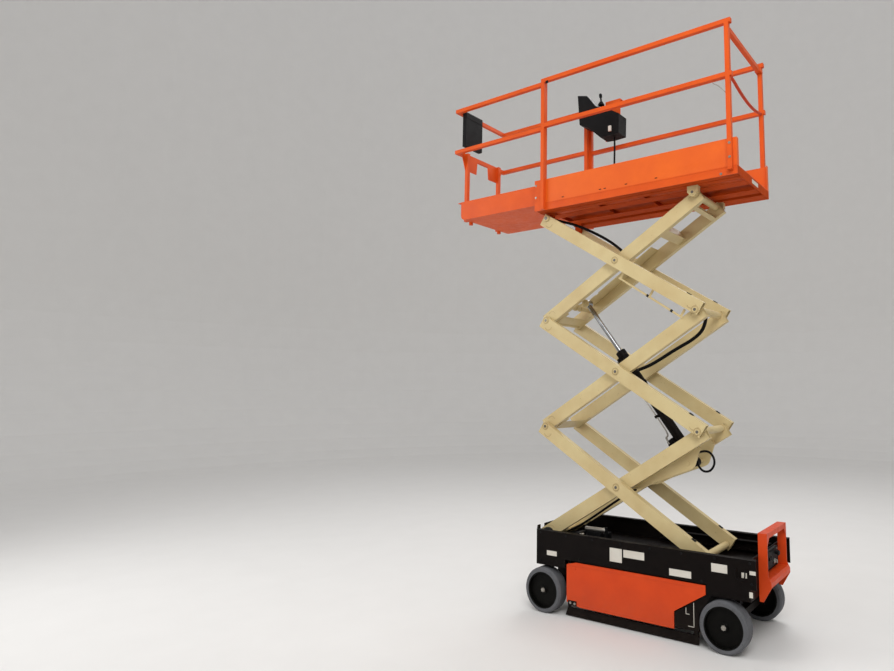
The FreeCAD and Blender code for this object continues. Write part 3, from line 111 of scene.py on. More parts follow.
def blend(tree, amount, first, second):
    mixer = tree.nodes.new("ShaderNodeMix")
    mixer.data_type = "RGBA"
    tree.links.new(amount, mixer.inputs["Factor"])
    for place, value in ((6, first), (7, second)):
        if isinstance(value, tuple):
            mixer.inputs[place].default_value = value
        else:
            tree.links.new(value, mixer.inputs[place])
    return mixer.outputs[2]


def finish(name, colour, faded, rough=(0.35, 0.55), metal=0.0, speck=None, peel=(240, 0.0006), dust=None,
           broad=5.0, shine=0.35):
    """A procedural finish: colour and its faded shade, rough range, specks, bump and low dust."""
    made = bpy.data.materials.new(name)
    made.use_nodes = True
    tree = made.node_tree
    shader = tree.nodes["Principled BSDF"]
    where = tree.nodes.new("ShaderNodeTexCoord").outputs["Object"]
    clouds = noise(tree, where, broad, 5)
    patchy = span(tree, clouds.outputs["Fac"], 0.35, 0.68, 0, 1)
    shade = blend(tree, patchy.outputs["Result"], linear(colour), linear(faded))
    if speck:
        grit = noise(tree, where, speck[1], 3, 0.7)
        marks = span(tree, grit.outputs["Fac"], speck[2], speck[2] + 0.06, 0, speck[3])
        shade = blend(tree, marks.outputs["Result"], shade, linear(speck[0]))
    if dust:
        apart = tree.nodes.new("ShaderNodeSeparateXYZ")
        tree.links.new(where, apart.inputs[0])
        fall = span(tree, apart.outputs["Z"], dust[1], dust[2], dust[3], 0)
        patch = tree.nodes.new("ShaderNodeMath")
        patch.operation = "MULTIPLY"
        tree.links.new(fall.outputs["Result"], patch.inputs[0])
        tree.links.new(noise(tree, where, 14, 6).outputs["Fac"], patch.inputs[1])
        shade = blend(tree, patch.outputs[0], shade, linear(dust[0]))
    tree.links.new(shade, shader.inputs["Base Color"])
    wear = noise(tree, where, 23, 4)
    worn = span(tree, wear.outputs["Fac"], 0.3, 0.7, rough[0], rough[1])
    tree.links.new(worn.outputs["Result"], shader.inputs["Roughness"])
    skin = tree.nodes.new("ShaderNodeBump")
    skin.inputs["Strength"].default_value = 0.5
    skin.inputs["Distance"].default_value = peel[1]
    tree.links.new(noise(tree, where, peel[0], 2).outputs["Fac"], skin.inputs["Height"])
    tree.links.new(skin.outputs["Normal"], shader.inputs["Normal"])
    shader.inputs["Metallic"].default_value = metal
    shader.inputs["Specular IOR Level"].default_value = shine
    FINISHES[name] = made
    return made


DUST = (96, 84, 70)
finish("orange_enamel", (214, 72, 25), (204, 66, 24), (0.34, 0.52), speck=((120, 44, 26), 70, 0.68, 0.4),
       dust=(DUST, 0.05, 0.30, 0.30), shine=0.2)
finish("toe_enamel", (230, 100, 24), (222, 92, 24), (0.38, 0.52), speck=((150, 60, 24), 60, 0.68, 0.4))
finish("rail_enamel", (222, 90, 28), (212, 82, 27), (0.34, 0.50),
       speck=((140, 60, 30), 90, 0.67, 0.4), shine=0.2)
# Painted shade: the deck frame and its underside sheets carry the rails' orange paint, and this darker, duller copy
# stands for the shade beneath the deck.
finish("deck_painted_shade", (190, 72, 22), (172, 64, 20), (0.6, 0.75),
       speck=((110, 50, 24), 40, 0.62, 0.4), shine=0.05)
finish("cream_enamel", (206, 188, 140), (196, 174, 126), (0.38, 0.54), speck=((120, 98, 70), 55, 0.66, 0.4))
finish("black_enamel", (11, 7, 6), (17, 12, 10), (0.42, 0.62), speck=((46, 38, 32), 80, 0.69, 0.35),
       dust=((60, 50, 42), 0.02, 0.30, 0.30), shine=0.08)
finish("rim_enamel", (10, 10, 8), (15, 14, 12), (0.42, 0.62),
       speck=((48, 44, 38), 90, 0.68, 0.3), shine=0.08)
finish("grey_rubber", (98, 99, 102), (88, 89, 92), (0.72, 0.88),
       speck=((62, 60, 58), 50, 0.6, 0.5), peel=(120, 0.0012), shine=0.2)
finish("black_rubber", (11, 11, 12), (18, 18, 19), (0.5, 0.7),
       speck=((44, 42, 40), 120, 0.68, 0.25), peel=(300, 0.0008), shine=0.1)
finish("black_plastic_skin", (13, 13, 14), (20, 20, 21), (0.45, 0.62),
       speck=((50, 48, 46), 110, 0.68, 0.25), peel=(420, 0.0006), shine=0.12)
finish("worn_steel", (128, 124, 118), (100, 96, 90), (0.34, 0.52), 0.85,
       speck=((70, 54, 40), 60, 0.62, 0.6), peel=(160, 0.0004))
finish("plated_steel", (176, 172, 164), (150, 146, 138), (0.28, 0.42), 0.85,
       speck=((96, 88, 78), 90, 0.66, 0.4), peel=(260, 0.0002))
finish("chrome", (168, 170, 172), (150, 152, 155), (0.16, 0.24), 1.0, peel=(40, 0.00002))
finish("weld_bead", (188, 166, 120), (168, 146, 104), (0.4, 0.6),
       speck=((110, 88, 60), 160, 0.6, 0.5), peel=(260, 0.0014))
finish("blank_label", (216, 212, 202), (204, 198, 186), (0.4, 0.55),
       speck=((150, 140, 126), 80, 0.66, 0.4), peel=(90, 0.0001))
finish("orange_sleeve", (206, 70, 30), (190, 62, 27), (0.5, 0.7),
       speck=((120, 44, 22), 140, 0.62, 0.5), peel=(700, 0.0012))
print("finishes", len(FINISHES))

# %% [markdown]
# Every solid of the frame keeps its mesh and gets the finish that the real piece has, save one: the
# body is orange, the scissor arms cream, the chassis and wheel discs black, the tyres a grey that marks
# no floor. The deck frame under the platform takes a darker copy of the orange, which is painted shade.
# A table of name beginnings keeps this short and leaves no node out.

# %% Dress the nodes
DRESS = [
    ("door_", "orange_enamel"), ("toe_board_", "toe_enamel"), ("guard_rail_", "rail_enamel"),
    ("rear_gate", "rail_enamel"), ("ext_rail_", "rail_enamel"), ("ext_front_rail", "rail_enamel"),
    # deck_frame gets the darker copy of the orange, which is painted shade.
    ("ext_deck", "rail_enamel"), ("deck_floor", "rail_enamel"), ("deck_frame", "deck_painted_shade"),
    ("ladder", "orange_enamel"),
    ("inner_cross_", "cream_enamel"), ("inner_arm_", "cream_enamel"), ("outer_arm_", "cream_enamel"),
    ("chassis_frame", "black_enamel"), ("front_axle", "black_enamel"), ("rear_axle", "black_enamel"),
    ("knuckle_", "black_enamel"), ("tray_", "black_enamel"), ("pothole_bar_", "black_enamel"),
    ("ground_panel", "black_plastic_skin"), ("batteries_", "black_plastic_skin"), ("control_box", "black_plastic_skin"),
    ("document_box", "black_plastic_skin"), ("slide_block_", "cream_enamel"), ("tie_bar", "worn_steel"),
    ("base_rollers", "cream_enamel"), ("roller_track_", "black_enamel"), ("cylinder_barrel", "black_enamel"),
    ("cylinder_rod", "chrome"), ("rim_", "rim_enamel"), ("tyre_", "grey_rubber"),
]
for name, thing in nodes.items():
    coat = next(look for start, look in DRESS if name.startswith(start))
    for slot in thing.material_slots:
        slot.material = FINISHES[coat]
print("dressed", len(nodes), "nodes")

# %% [markdown]
# Small pieces are drawn by one builder that gathers plates, turned shapes, prisms and bent pipes into
# a single mesh for each body and finish. Chamfers are part of the shapes, so edges catch light as real
# ones do, and no piece is a bare cube or cylinder.

# %% The builder of small pieces
class Pieces:
    """Gathers shapes in one mesh and hands it over as one piece on one body."""

    def __init__(self):
        self.mesh = bmesh.new()

    def loft(self, rings, closed=False):
        """Joins rings of points one to the next and caps the two ends."""
        loops = [[self.mesh.verts.new(p) for p in ring] for ring in rings]
        pairs = list(zip(loops, loops[1:]))
        if closed:
            pairs.append((loops[-1], loops[0]))
        for a, b in pairs:
            for k in range(len(a)):
                n = (k + 1) % len(a)
                self.mesh.faces.new((a[k], a[n], b[n], b[k]))
        if not closed:
            self.mesh.faces.new(list(reversed(loops[0])))
            self.mesh.faces.new(loops[-1])
        return self

    def block(self, low, high, chamfer=0.0015, shift=None):
        """A plate or block with chamfered edges; shift moves each finished point."""
        x0, y0, z0 = low
        x1, y1, z1 = high
        c = min(chamfer, (x1 - x0) / 3, (y1 - y0) / 3, (z1 - z0) / 3)

        def ring(z, inset):
            a, b, p, q = x0 + inset, x1 - inset, y0 + inset, y1 - inset
            pts = [(a + c, p), (b - c, p), (b, p + c), (b, q - c), (b - c, q), (a + c, q), (a, q - c), (a, p + c)]
            return [Vector((x, y, z)) for x, y in pts]

        rings = [ring(z0, c), ring(z0 + c, 0), ring(z1 - c, 0), ring(z1, c)]
        if shift:
            rings = [[shift(p) for p in r] for r in rings]
        return self.loft(rings)

    def turned(self, centre, axis, profile, sides=28):
        """A shape turned about an axis, from pairs of height and radius."""
        axis = Vector(axis).normalized()
        across = axis.orthogonal().normalized()
        other = axis.cross(across)
        rings = []
        for height, radius in profile:
            rings.append([Vector(centre) + axis * height
                          + (across * math.cos(a) + other * math.sin(a)) * max(radius, 0.0002)
                          for a in (2 * math.pi * k / sides for k in range(sides))])
        return self.loft(rings)

    def pipe(self, path, radius, sides=12, steps=6):
        """A tube through points, rounded by a smooth curve between them."""
        pts = [Vector(p) for p in path]
        line = []
        for k in range(len(pts) - 1):
            p0, p1, p2, p3 = pts[max(k - 1, 0)], pts[k], pts[k + 1], pts[min(k + 2, len(pts) - 1)]
            for s in range(steps):
                t = s / steps
                line.append(0.5 * ((2 * p1) + (p2 - p0) * t + (2 * p0 - 5 * p1 + 4 * p2 - p3) * t * t
                                   + (3 * p1 - p0 - 3 * p2 + p3) * t ** 3))
        line.append(pts[-1])
        side = (line[1] - line[0]).orthogonal().normalized()
        rings = []
        for k, p in enumerate(line):
            ahead = (line[min(k + 1, len(line) - 1)] - line[max(k - 1, 0)]).normalized()
            side = (side - ahead * side.dot(ahead)).normalized()
            up = ahead.cross(side)
            rings.append([p + (side * math.cos(a) + up * math.sin(a)) * radius
                          for a in (2 * math.pi * j / sides for j in range(sides))])
        return self.loft(rings)

    def weld(self, centre, axis, radius, bead=0.003, start=0.0, turn=360.0, sides=8, steps=40):
        """A weld bead laid round a boss, whole or as an arc of so many degrees."""
        axis = Vector(axis).normalized()
        across = Vector((1, 0, 0)) if abs(axis.x) < 0.9 else Vector((0, 0, 1))
        other = axis.cross(across)
        rings = []
        for k in range(steps + (0 if turn >= 360 else 1)):
            a = math.radians(start + turn * k / steps)
            out = across * math.cos(a) + other * math.sin(a)
            ripple = bead * (1 + 0.12 * math.sin(k * 2.4))
            rings.append([Vector(centre) + out * radius + (out * math.cos(b) + axis * math.sin(b)) * ripple
                          for b in (2 * math.pi * j / sides for j in range(sides))])
        return self.loft(rings, closed=turn >= 360)

    def make(self, name, body, look, slot, smooth=False):
        """Closes the mesh and lets it ride on its body."""
        bmesh.ops.recalc_face_normals(self.mesh, faces=self.mesh.faces)
        data = bpy.data.meshes.new(name)
        self.mesh.to_mesh(data)
        self.mesh.free()
        thing = bpy.data.objects.new(name, data)
        bpy.context.scene.collection.objects.link(thing)
        thing.data.materials.append(FINISHES[look])
        if smooth:
            data.shade_smooth()
            data.set_sharp_from_angle(angle=math.radians(38))
        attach(thing, body)
        print(name, len(data.polygons), "faces on", body)
        return thing


# %% [markdown]
# Bolt heads, washers and rivets repeat all over the machine. A Geometry Nodes tree sets one hexagon
# head on a washer at every point of a guide mesh, turned along the point's own direction, so a row of
# bolts is only a row of numbers. The tree is evaluated and kept as a plain mesh.

# %% The bolt tree
def bolt_tree():
    tree = bpy.data.node_groups.new("bolt heads", "GeometryNodeTree")
    face = tree.interface
    face.new_socket("Points", in_out="INPUT", socket_type="NodeSocketGeometry")
    sizes = {}
    for label, kind, value in (("Head radius", "NodeSocketFloat", 0.008), ("Head height", "NodeSocketFloat", 0.005),
                               ("Head sides", "NodeSocketInt", 6), ("Finish", "NodeSocketMaterial", None)):
        sizes[label] = face.new_socket(label, in_out="INPUT", socket_type=kind)
        if value is not None:
            sizes[label].default_value = value
    face.new_socket("Bolts", in_out="OUTPUT", socket_type="NodeSocketGeometry")
    new = tree.nodes.new
    come, go = new("NodeGroupInput"), new("NodeGroupOutput")
    facing = new("GeometryNodeInputNamedAttribute")
    facing.data_type = "FLOAT_VECTOR"
    facing.inputs["Name"].default_value = "facing"
    turn = new("FunctionNodeAlignRotationToVector")
    turn.axis = "Z"
    tree.links.new(facing.outputs["Attribute"], turn.inputs["Vector"])
    join = new("GeometryNodeJoinGeometry")
    for wide, tall, sides, lift in ((1.0, 1.0, None, 0.5), (1.45, 0.3, 20, 0.15)):
        radius, height, raised = (new("ShaderNodeMath") for k in range(3))
        for node, factor in ((radius, wide), (height, tall), (raised, lift)):
            node.operation = "MULTIPLY"
            node.inputs[1].default_value = factor
        tree.links.new(come.outputs["Head radius"], radius.inputs[0])
        tree.links.new(come.outputs["Head height"], height.inputs[0])
        tree.links.new(come.outputs["Head height"], raised.inputs[0])
        shank = new("GeometryNodeMeshCylinder")
        if sides is None:
            tree.links.new(come.outputs["Head sides"], shank.inputs["Vertices"])
        else:
            shank.inputs["Vertices"].default_value = sides
        tree.links.new(radius.outputs[0], shank.inputs["Radius"])
        tree.links.new(height.outputs[0], shank.inputs["Depth"])
        lifted = new("GeometryNodeTransform")
        up = new("ShaderNodeCombineXYZ")
        tree.links.new(raised.outputs[0], up.inputs["Z"])
        tree.links.new(shank.outputs["Mesh"], lifted.inputs["Geometry"])
        tree.links.new(up.outputs[0], lifted.inputs["Translation"])
        tree.links.new(lifted.outputs["Geometry"], join.inputs["Geometry"])
    spread = new("GeometryNodeInstanceOnPoints")
    tree.links.new(come.outputs["Points"], spread.inputs["Points"])
    tree.links.new(join.outputs["Geometry"], spread.inputs["Instance"])
    tree.links.new(turn.outputs["Rotation"], spread.inputs["Rotation"])
    real = new("GeometryNodeRealizeInstances")
    dress = new("GeometryNodeSetMaterial")
    tree.links.new(spread.outputs["Instances"], real.inputs["Geometry"])
    tree.links.new(real.outputs["Geometry"], dress.inputs["Geometry"])
    tree.links.new(come.outputs["Finish"], dress.inputs["Material"])
    tree.links.new(dress.outputs["Geometry"], go.inputs["Bolts"])
    return tree, sizes


BOLTS, BOLT_SIZES = bolt_tree()


def bolts(name, body, rows, look="plated_steel", radius=0.008, height=0.005, sides=6):
    """Sets a bolt head at each place of rows, which hold a place and the way that it faces."""
    guide = bpy.data.meshes.new(name)
    guide.from_pydata([tuple(place) for place, way in rows], [], [])
    way = guide.attributes.new("facing", "FLOAT_VECTOR", "POINT")
    for k, (place, direction) in enumerate(rows):
        way.data[k].vector = direction
    holder = bpy.data.objects.new(name + "_guide", guide)
    bpy.context.scene.collection.objects.link(holder)
    stage = holder.modifiers.new("bolts", "NODES")
    stage.node_group = BOLTS
    for label, value in (("Head radius", radius), ("Head height", height), ("Head sides", sides),
                         ("Finish", FINISHES[look])):
        stage[BOLT_SIZES[label].identifier] = value
    graph = bpy.context.evaluated_depsgraph_get()
    data = bpy.data.meshes.new_from_object(holder.evaluated_get(graph))
    data.name = name
    bpy.data.objects.remove(holder)
    thing = bpy.data.objects.new(name, data)
    bpy.context.scene.collection.objects.link(thing)
    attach(thing, body)
    print(name, len(rows), "bolts on", body)
    return thing


# %% [markdown]
# The wheels are solid grey tyres on black dished discs. What shows on the CAD rim is a
# ring in the disc with four bolts, the hub and its castellated nut with a split pin.
# Each is turned about the axle and rides on its wheel, so it spins with it.

# %% Wheels
for (end, side), hub in WHEELS.items():
    sign = 1 if side == "left" else -1
    body = f"wheel_{end}_{side}"
    way = (0, sign, 0)
    centre = Vector((hub.x, hub.y - sign * 0.0005, hub.z))
    Pieces().turned(centre - Vector((0, sign * 0.034, 0)), way,
                    [(0.0, 0.030), (0.010, 0.030), (0.014, 0.026), (0.016, 0.024)]).turned(
        centre - Vector((0, sign * 0.044, 0)), way,
        [(0.0, 0.088), (0.004, 0.088), (0.006, 0.085), (0.006, 0.078), (0.004, 0.074), (0.0, 0.074)], 48).make(
        f"hub_{end}_{side}", body, "rim_enamel", "black_rim", True)
    nut = Pieces().turned(centre - Vector((0, sign * 0.018, 0)), way,
                          [(0.0, 0.017), (0.010, 0.017), (0.011, 0.015)], 6)
    for k in range(6):
        a = math.radians(60 * k + 15)
        at = centre + Vector((0.011 * math.cos(a), -sign * 0.007, 0.011 * math.sin(a)))
        nut.turned(at, way, [(0.0, 0.0042), (0.006, 0.0040), (0.0065, 0.0034)], 6)
    nut.turned(centre - Vector((0, sign * 0.008, 0)), way, [(0.0, 0.0072), (0.007, 0.0070), (0.008, 0.006)], 16)
    nut.pipe([centre + Vector((-0.014, -sign * 0.003, 0.0)), centre + Vector((0.0, -sign * 0.002, 0.0)),
              centre + Vector((0.015, -sign * 0.003, 0.002))], 0.0016, 8, 3)
    nut.make(f"axle_nut_{end}_{side}", body, "plated_steel", "bare_steel", True)
    ring = []
    for k in range(4):
        a = math.radians(45 + 90 * k)
        ring.append((centre + Vector((0.060 * math.cos(a), -sign * 0.046, 0.060 * math.sin(a))), way))
    bolts(f"disc_bolts_{end}_{side}", body, ring, "rim_enamel", 0.007, 0.005)

# %% [markdown]
# The scissor arms are square tubes whose pins are welded in. Round each pin sits a bead of weld, a
# shorter arc lies beside each end pin, and each pin head of an inner arm carries a small keeper bolt.
# Beads are swept arcs, with a slight ripple so they don't look like rings of wire.

# %% Scissor arms
for stage in (1, 2, 3):
    for side, sign in (("left", 1), ("right", -1)):
        keepers = [(on_arm(stage, "inner", along, 0, sign * PIN_HEAD_Y), (0, sign, 0)) for along in PINS]
        bolts(f"keeper_bolts_{stage}_{side}", f"inner_frame_{stage}", keepers,
              "worn_steel", 0.0075, 0.0035)
        inner = Pieces()
        outer = Pieces()
        for along in PINS:
            outer.weld(on_arm(stage, "outer", along, 0, sign * OUTER_FACE_Y), (0, 1, 0), 0.0255, 0.0026)
            inner.weld(on_arm(stage, "inner", along, 0, sign * INNER_FACE_Y), (0, 1, 0), 0.0255, 0.0022)
        for along, above in ((0.045, -0.024), (SPAN - 0.045, 0.024)):
            inner.weld(on_arm(stage, "inner", along, above, sign * 0.2208), (0, 1, 0), 0.032, 0.0022, 200, 140, 8, 20)
            outer.weld(on_arm(stage, "outer", along, -above, sign * 0.2718), (0, 1, 0), 0.034, 0.0024, 20, 140, 8, 20)
        inner.make(f"inner_welds_{stage}_{side}", f"inner_frame_{stage}", "weld_bead", "cream_paint", True)
        outer.make(f"outer_welds_{stage}_{side}", f"outer_frame_{stage}", "weld_bead", "cream_paint", True)

# %% [markdown]
# Small black rubber stop pads sit on the upper edge of the outer arms near their low rear ends and
# keep the folded frames apart. Each is a chamfered block laid in the slope of its arm.

# %% Stop pads
PAD_ALONG = 0.105
PAD_ABOVE = 0.024 * (1 - 2 * PAD_ALONG / SPAN) + 0.0498
for stage in (1, 2, 3):
    tilted = Matrix.Rotation(-SLOPE, 3, "Y")
    for side, sign in (("left", 1), ("right", -1)):
        pads = Pieces()
        at = on_arm(stage, "outer", PAD_ALONG, PAD_ABOVE, sign * 0.2495)
        pads.block((-0.017, -0.012, 0.0), (0.017, 0.012, 0.004), 0.001, lambda p: at + tilted @ p)
        pads.make(f"stop_pads_{stage}_{side}", f"outer_frame_{stage}", "black_rubber", "black_plastic")

# %% [markdown]
# Between the arms of the inner frames sit bent plates: a web under each front cross tube, and on the top
# frame long sheets that leave a slot for the cylinder. They are laid in the slope of the arms.

# %% Plates between the arms
for stage in (1, 2, 3):
    webs = Pieces()

    def sloped(p):
        return on_arm(stage, "inner", p.x, p.z, p.y)

    webs.block((1.418, -0.1762, -0.034), (1.500, 0.1762, -0.029), 0.0015, sloped)
    for y in (-0.1762, 0.1462):
        webs.block((1.380, y, -0.032), (1.500, y + 0.030, -0.024), 0.0015, sloped)
    if stage == 3:
        for y0, y1 in ((-0.1762, -0.046), (0.046, 0.1762)):
            webs.block((0.560, y0, 0.0355), (1.150, y1, 0.0415), 0.0015, sloped)
            webs.block((1.178, y0, 0.0355), (1.300, y1, 0.0415), 0.0015, sloped)
    webs.make(f"arm_webs_{stage}", f"inner_frame_{stage}", "cream_enamel", "cream_paint")

# %% [markdown]
# The chassis is a black box. Its side shows small blank label plates, a row of bolts along the top
# flange and bolts at the corners of the door openings. The labels are thin chamfered plates with no
# print, because only their place and colour belong to the part.

# %% Chassis sides
SIDE_Y = 0.385
LABELS = [
    # low x, high x, low z, high z
    (0.179, 0.269, 0.415, 0.449), (-0.374, -0.276, 0.446, 0.539), (-0.548, -0.386, 0.487, 0.538),
    (-0.889, -0.733, 0.421, 0.465), (-1.134, -1.028, 0.489, 0.541), (-1.260, -1.226, 0.480, 0.512),
    (-1.316, -1.277, 0.505, 0.528), (-1.295, -1.272, 0.368, 0.402),
]
for side, sign in (("left", 1), ("right", -1)):
    labels = Pieces()
    for x0, x1, z0, z1 in LABELS:
        y0, y1 = sorted((sign * (SIDE_Y - 0.0002), sign * (SIDE_Y + 0.0010)))
        labels.block((x0, y0, z0), (x1, y1, z1), 0.0004)
    labels.make(f"side_labels_{side}", "chassis", "blank_label", "cream_paint")
    rows = [((x, sign * SIDE_Y, 0.572), (0, sign, 0))
            for x in (-1.28, -1.05, -0.82, -0.59, -0.36, -0.13, 0.10, 0.33)]
    rows += [((x, sign * SIDE_Y, z), (0, sign, 0))
             for x, z in ((-1.29, 0.45), (0.33, 0.372), (-0.02, 0.418), (-0.96, 0.418))]
    bolts(f"side_bolts_{side}", "chassis", rows, "black_plastic_skin", 0.0065, 0.004)

# %% [markdown]
# The rear of the chassis carries the lower controls: a black panel with a plated key knob, a black stop
# button and two rocker switches, held by four screws. Knob and button are turned shapes.

# %% Rear of the chassis
PANEL_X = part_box("ground_panel")[0].x
knob = Pieces().turned((PANEL_X, -0.047, 0.500), (-1, 0, 0),
                       [(0, 0.017), (0.008, 0.017), (0.012, 0.013), (0.013, 0.010)])
knob.block((PANEL_X - 0.024, -0.051, 0.488), (PANEL_X - 0.010, -0.043, 0.512), 0.002)
knob.make("key_knob", "chassis", "plated_steel", "bare_steel", True)
frame_plate = Pieces().block((PANEL_X - 0.003, -0.118, 0.478), (PANEL_X + 0.0005, 0.118, 0.577), 0.001)
for y in (0.060, 0.020):
    frame_plate.block((PANEL_X - 0.010, y - 0.012, 0.522), (PANEL_X - 0.002, y + 0.012, 0.546), 0.002)
frame_plate.make("panel_plate", "chassis", "black_plastic_skin", "black_plastic")
Pieces().turned((PANEL_X - 0.002, -0.090, 0.545), (-1, 0, 0),
                [(0, 0.011), (0.012, 0.011), (0.013, 0.018), (0.020, 0.018), (0.024, 0.014), (0.0245, 0.006)]).make(
    "stop_button", "chassis", "black_plastic_skin", "black_plastic", True)
screws = [((PANEL_X - 0.003, y, z), (-1, 0, 0)) for y in (-0.108, 0.108) for z in (0.486, 0.569)]
bolts("panel_screws", "chassis", screws, "plated_steel", 0.004, 0.0025, 12)

# %% [markdown]
# A bent bar makes a tie-down loop on each side near the rear corner.

# %% Tie-down loops
loops = Pieces()
for sign in (1, -1):
    loops.pipe([(x, sign * y, z) for x, y, z in (
        (-1.192, 0.386, 0.522), (-1.192, 0.396, 0.522), (-1.196, 0.399, 0.480), (-1.222, 0.399, 0.474),
        (-1.248, 0.399, 0.480), (-1.252, 0.396, 0.522), (-1.252, 0.386, 0.522))], 0.0045, 12, 5)
loops.make("tie_down_loops", "chassis", "black_enamel", "black_paint", True)

# %% [markdown]
# On the chassis, at the front, lie the valves of the hydraulics: four black bodies with plated caps.
# From the side only their tops show above the edge, but from above they show in full.

# %% Hydraulics on the deck plate
DECK_Z = 0.462
valves = Pieces()
for x0, x1, y0, y1, tall in ((0.02, 0.10, -0.150, -0.060, 0.052), (-0.02, 0.075, 0.060, 0.150, 0.040),
                             (0.125, 0.185, -0.120, 0.110, 0.034), (0.200, 0.240, -0.060, 0.060, 0.060)):
    valves.block((x0, y0, DECK_Z), (x1, y1, DECK_Z + tall), 0.004)
valves.make("valve_bodies", "chassis", "black_plastic_skin", "black_plastic")
caps = Pieces()
for x, y, tall in ((0.155, 0.080, 0.034), (0.155, -0.090, 0.034), (0.060, -0.105, 0.052),
                   (0.030, 0.105, 0.040)):
    caps.turned((x, y, DECK_Z + tall), (0, 0, 1), [(0, 0.014), (0.016, 0.014), (0.018, 0.018),
                                                   (0.030, 0.018), (0.033, 0.015), (0.034, 0.008)])
caps.make("valve_caps", "chassis", "plated_steel", "bare_steel", True)

# %% [markdown]
# The swing-out doors are bent sheet: a folded strip with a step runs along the top, and a darker notch
# with two bolts cuts the low front corner. Behind the slanted rear edge the black plate carries a thin
# white outline, which is only a stripe and has no print.

# %% Doors
for side, sign in (("left", 1), ("right", -1)):
    body = f"tray_door_{side}"
    y0, y1 = sorted((sign * 0.3845, sign * 0.3873))
    strip = Pieces().block((-0.962, y0, 0.370), (0.010, y1, 0.3895), 0.0012)
    strip.block((0.010, y0, 0.340), (0.068, y1, 0.366), 0.0012)
    strip.make(f"door_strip_{side}", body, "orange_enamel", "orange_paint")
    y0, y1 = sorted((sign * 0.3848, sign * 0.3860))
    notch = Pieces().block((0.002, y0, 0.092), (0.078, y1, 0.126), 0.0006)
    notch.make(f"door_notch_{side}", body, "black_enamel", "black_paint")
    rows = [((x, sign * 0.386, z), (0, sign, 0)) for x, z in ((0.056, 0.109), (0.020, 0.107))]
    bolts(f"door_bolts_{side}", body, rows, "plated_steel", 0.006, 0.004)
    stripe = Pieces()
    y0, y1 = sorted((sign * 0.3846, sign * 0.3858))
    for x0, x1, z0, z1 in ((-0.9045, -0.9005, 0.122, 0.274), (-0.9045, -0.862, 0.122, 0.126),
                           (-0.872, -0.846, 0.196, 0.200), (-0.850, -0.846, 0.196, 0.236)):
        stripe.block((x0, y0, z0), (x1, y1, z1), 0.0004)
    stripe.make(f"side_stripe_{side}", "chassis", "blank_label", "cream_paint")

# %% [markdown]
# The lift cylinder is a black barrel with a chromed rod. At its lower end a valve block is bolted on,
# with two thin pipes that run up the barrel in clamps, and a union at each end. Small parts are turned
# or chamfered, the pipes are swept along the barrel's own line.

# %% Cylinder fittings
BARREL_LOW = on_arm(1, "inner", 0.237, -0.122, 0)
ROD_PIN = on_arm(3, "inner", 1.258, 0.0, 0)
LINE = (ROD_PIN - BARREL_LOW).normalized()
OUT = Vector((LINE.z, 0, -LINE.x))


def on_barrel(along, out, y):
    """A place beside the cylinder, from its base pin."""
    return BARREL_LOW + LINE * along + OUT * out + Vector((0, y, 0))


def along_barrel(p):
    """Turns a block drawn along X into the cylinder's line."""
    return BARREL_LOW + LINE * p.x + Vector((0, p.y, 0)) + OUT * p.z


fittings = Pieces()
fittings.block((0.120, -0.036, 0.030), (0.235, 0.036, 0.088), 0.004, along_barrel)
fittings.block((0.150, 0.036, 0.045), (0.205, 0.066, 0.080), 0.003, along_barrel)
fittings.block((0.945, -0.018, 0.034), (0.985, 0.018, 0.060), 0.003, along_barrel)
for along in (0.42, 0.70):
    fittings.turned(on_barrel(along, 0, 0), LINE,
                    [(0, 0.0395), (0.002, 0.0405), (0.018, 0.0405), (0.020, 0.0395)], 36)
    fittings.block((along, 0.010, 0.034), (along + 0.020, 0.040, 0.056), 0.002, along_barrel)
fittings.make("cylinder_fittings", "lift_barrel", "black_enamel", "black_paint")
lines = Pieces()
for y, out in ((0.018, 0.048), (0.033, 0.044)):
    lines.pipe([on_barrel(0.200, 0.078, y), on_barrel(0.260, 0.076, y), on_barrel(0.300, out, y),
                on_barrel(0.600, out, y), on_barrel(0.900, out, y), on_barrel(0.950, out, y * 0.5)],
               0.0045, 10, 5)
lines.turned(on_barrel(0.965, 0.060, 0.0), OUT,
             [(0, 0.009), (0.010, 0.009), (0.011, 0.012), (0.022, 0.012), (0.024, 0.009)], 6)
lines.turned(on_barrel(0.172, 0.088, 0.018), OUT,
             [(0, 0.010), (0.012, 0.010), (0.013, 0.013), (0.026, 0.013), (0.028, 0.009)], 6)
lines.make("cylinder_pipes", "lift_barrel", "plated_steel", "bare_steel", True)
wiper = Pieces().turned(on_barrel(1.0185, 0, 0), LINE,
                        [(0.0, 0.036), (0.004, 0.036), (0.006, 0.030), (0.007, 0.0205)], 36)
wiper.make("rod_wiper", "lift_barrel", "worn_steel", "bare_steel", True)

# %% [markdown]
# The platform's rails are bolted to the toe boards, and the toe boards carry slots where they hook on.
# The bolts come from the bolt tree, the slots are thin black plates that paint the shade inside
# the openings, and a small black latch holds the front end of the left rail.

# %% Platform small parts
for side, sign in (("left", 1), ("right", -1)):
    rows = [((x, sign * y, z), (0, sign, 0)) for x, y, z in (
        (-1.221, 0.3817, 3.291), (-1.221, 0.3817, 3.193), (0.402, 0.3817, 3.283),
        (0.402, 0.3817, 3.183), (-1.146, 0.3500, 3.096))]
    bolts(f"toe_bolts_{side}", "platform", rows, "plated_steel", 0.0065, 0.0045)
    # Painted shade: black plates stand for the dark inside of the hook slots.
    slots = Pieces()
    for x in (-0.185, -0.227, -0.411, -0.658, 0.160):
        y0, y1 = sorted((sign * 0.3498, sign * 0.3504))
        slots.block((x - 0.010, y0, 3.156), (x + 0.010, y1, 3.163), 0.0002)
    slots.make(f"toe_slot_shade_{side}", "platform", "black_plastic_skin", "black_plastic")
latch = Pieces().turned((0.360, 0.334, 4.1500), (1, 0, 0), [(0, 0.013), (0.010, 0.013), (0.011, 0.011)], 20)
latch.block((0.286, 0.3817, 4.128), (0.312, 0.3850, 4.152), 0.001)
latch.make("rail_latch", "platform", "black_plastic_skin", "black_plastic")
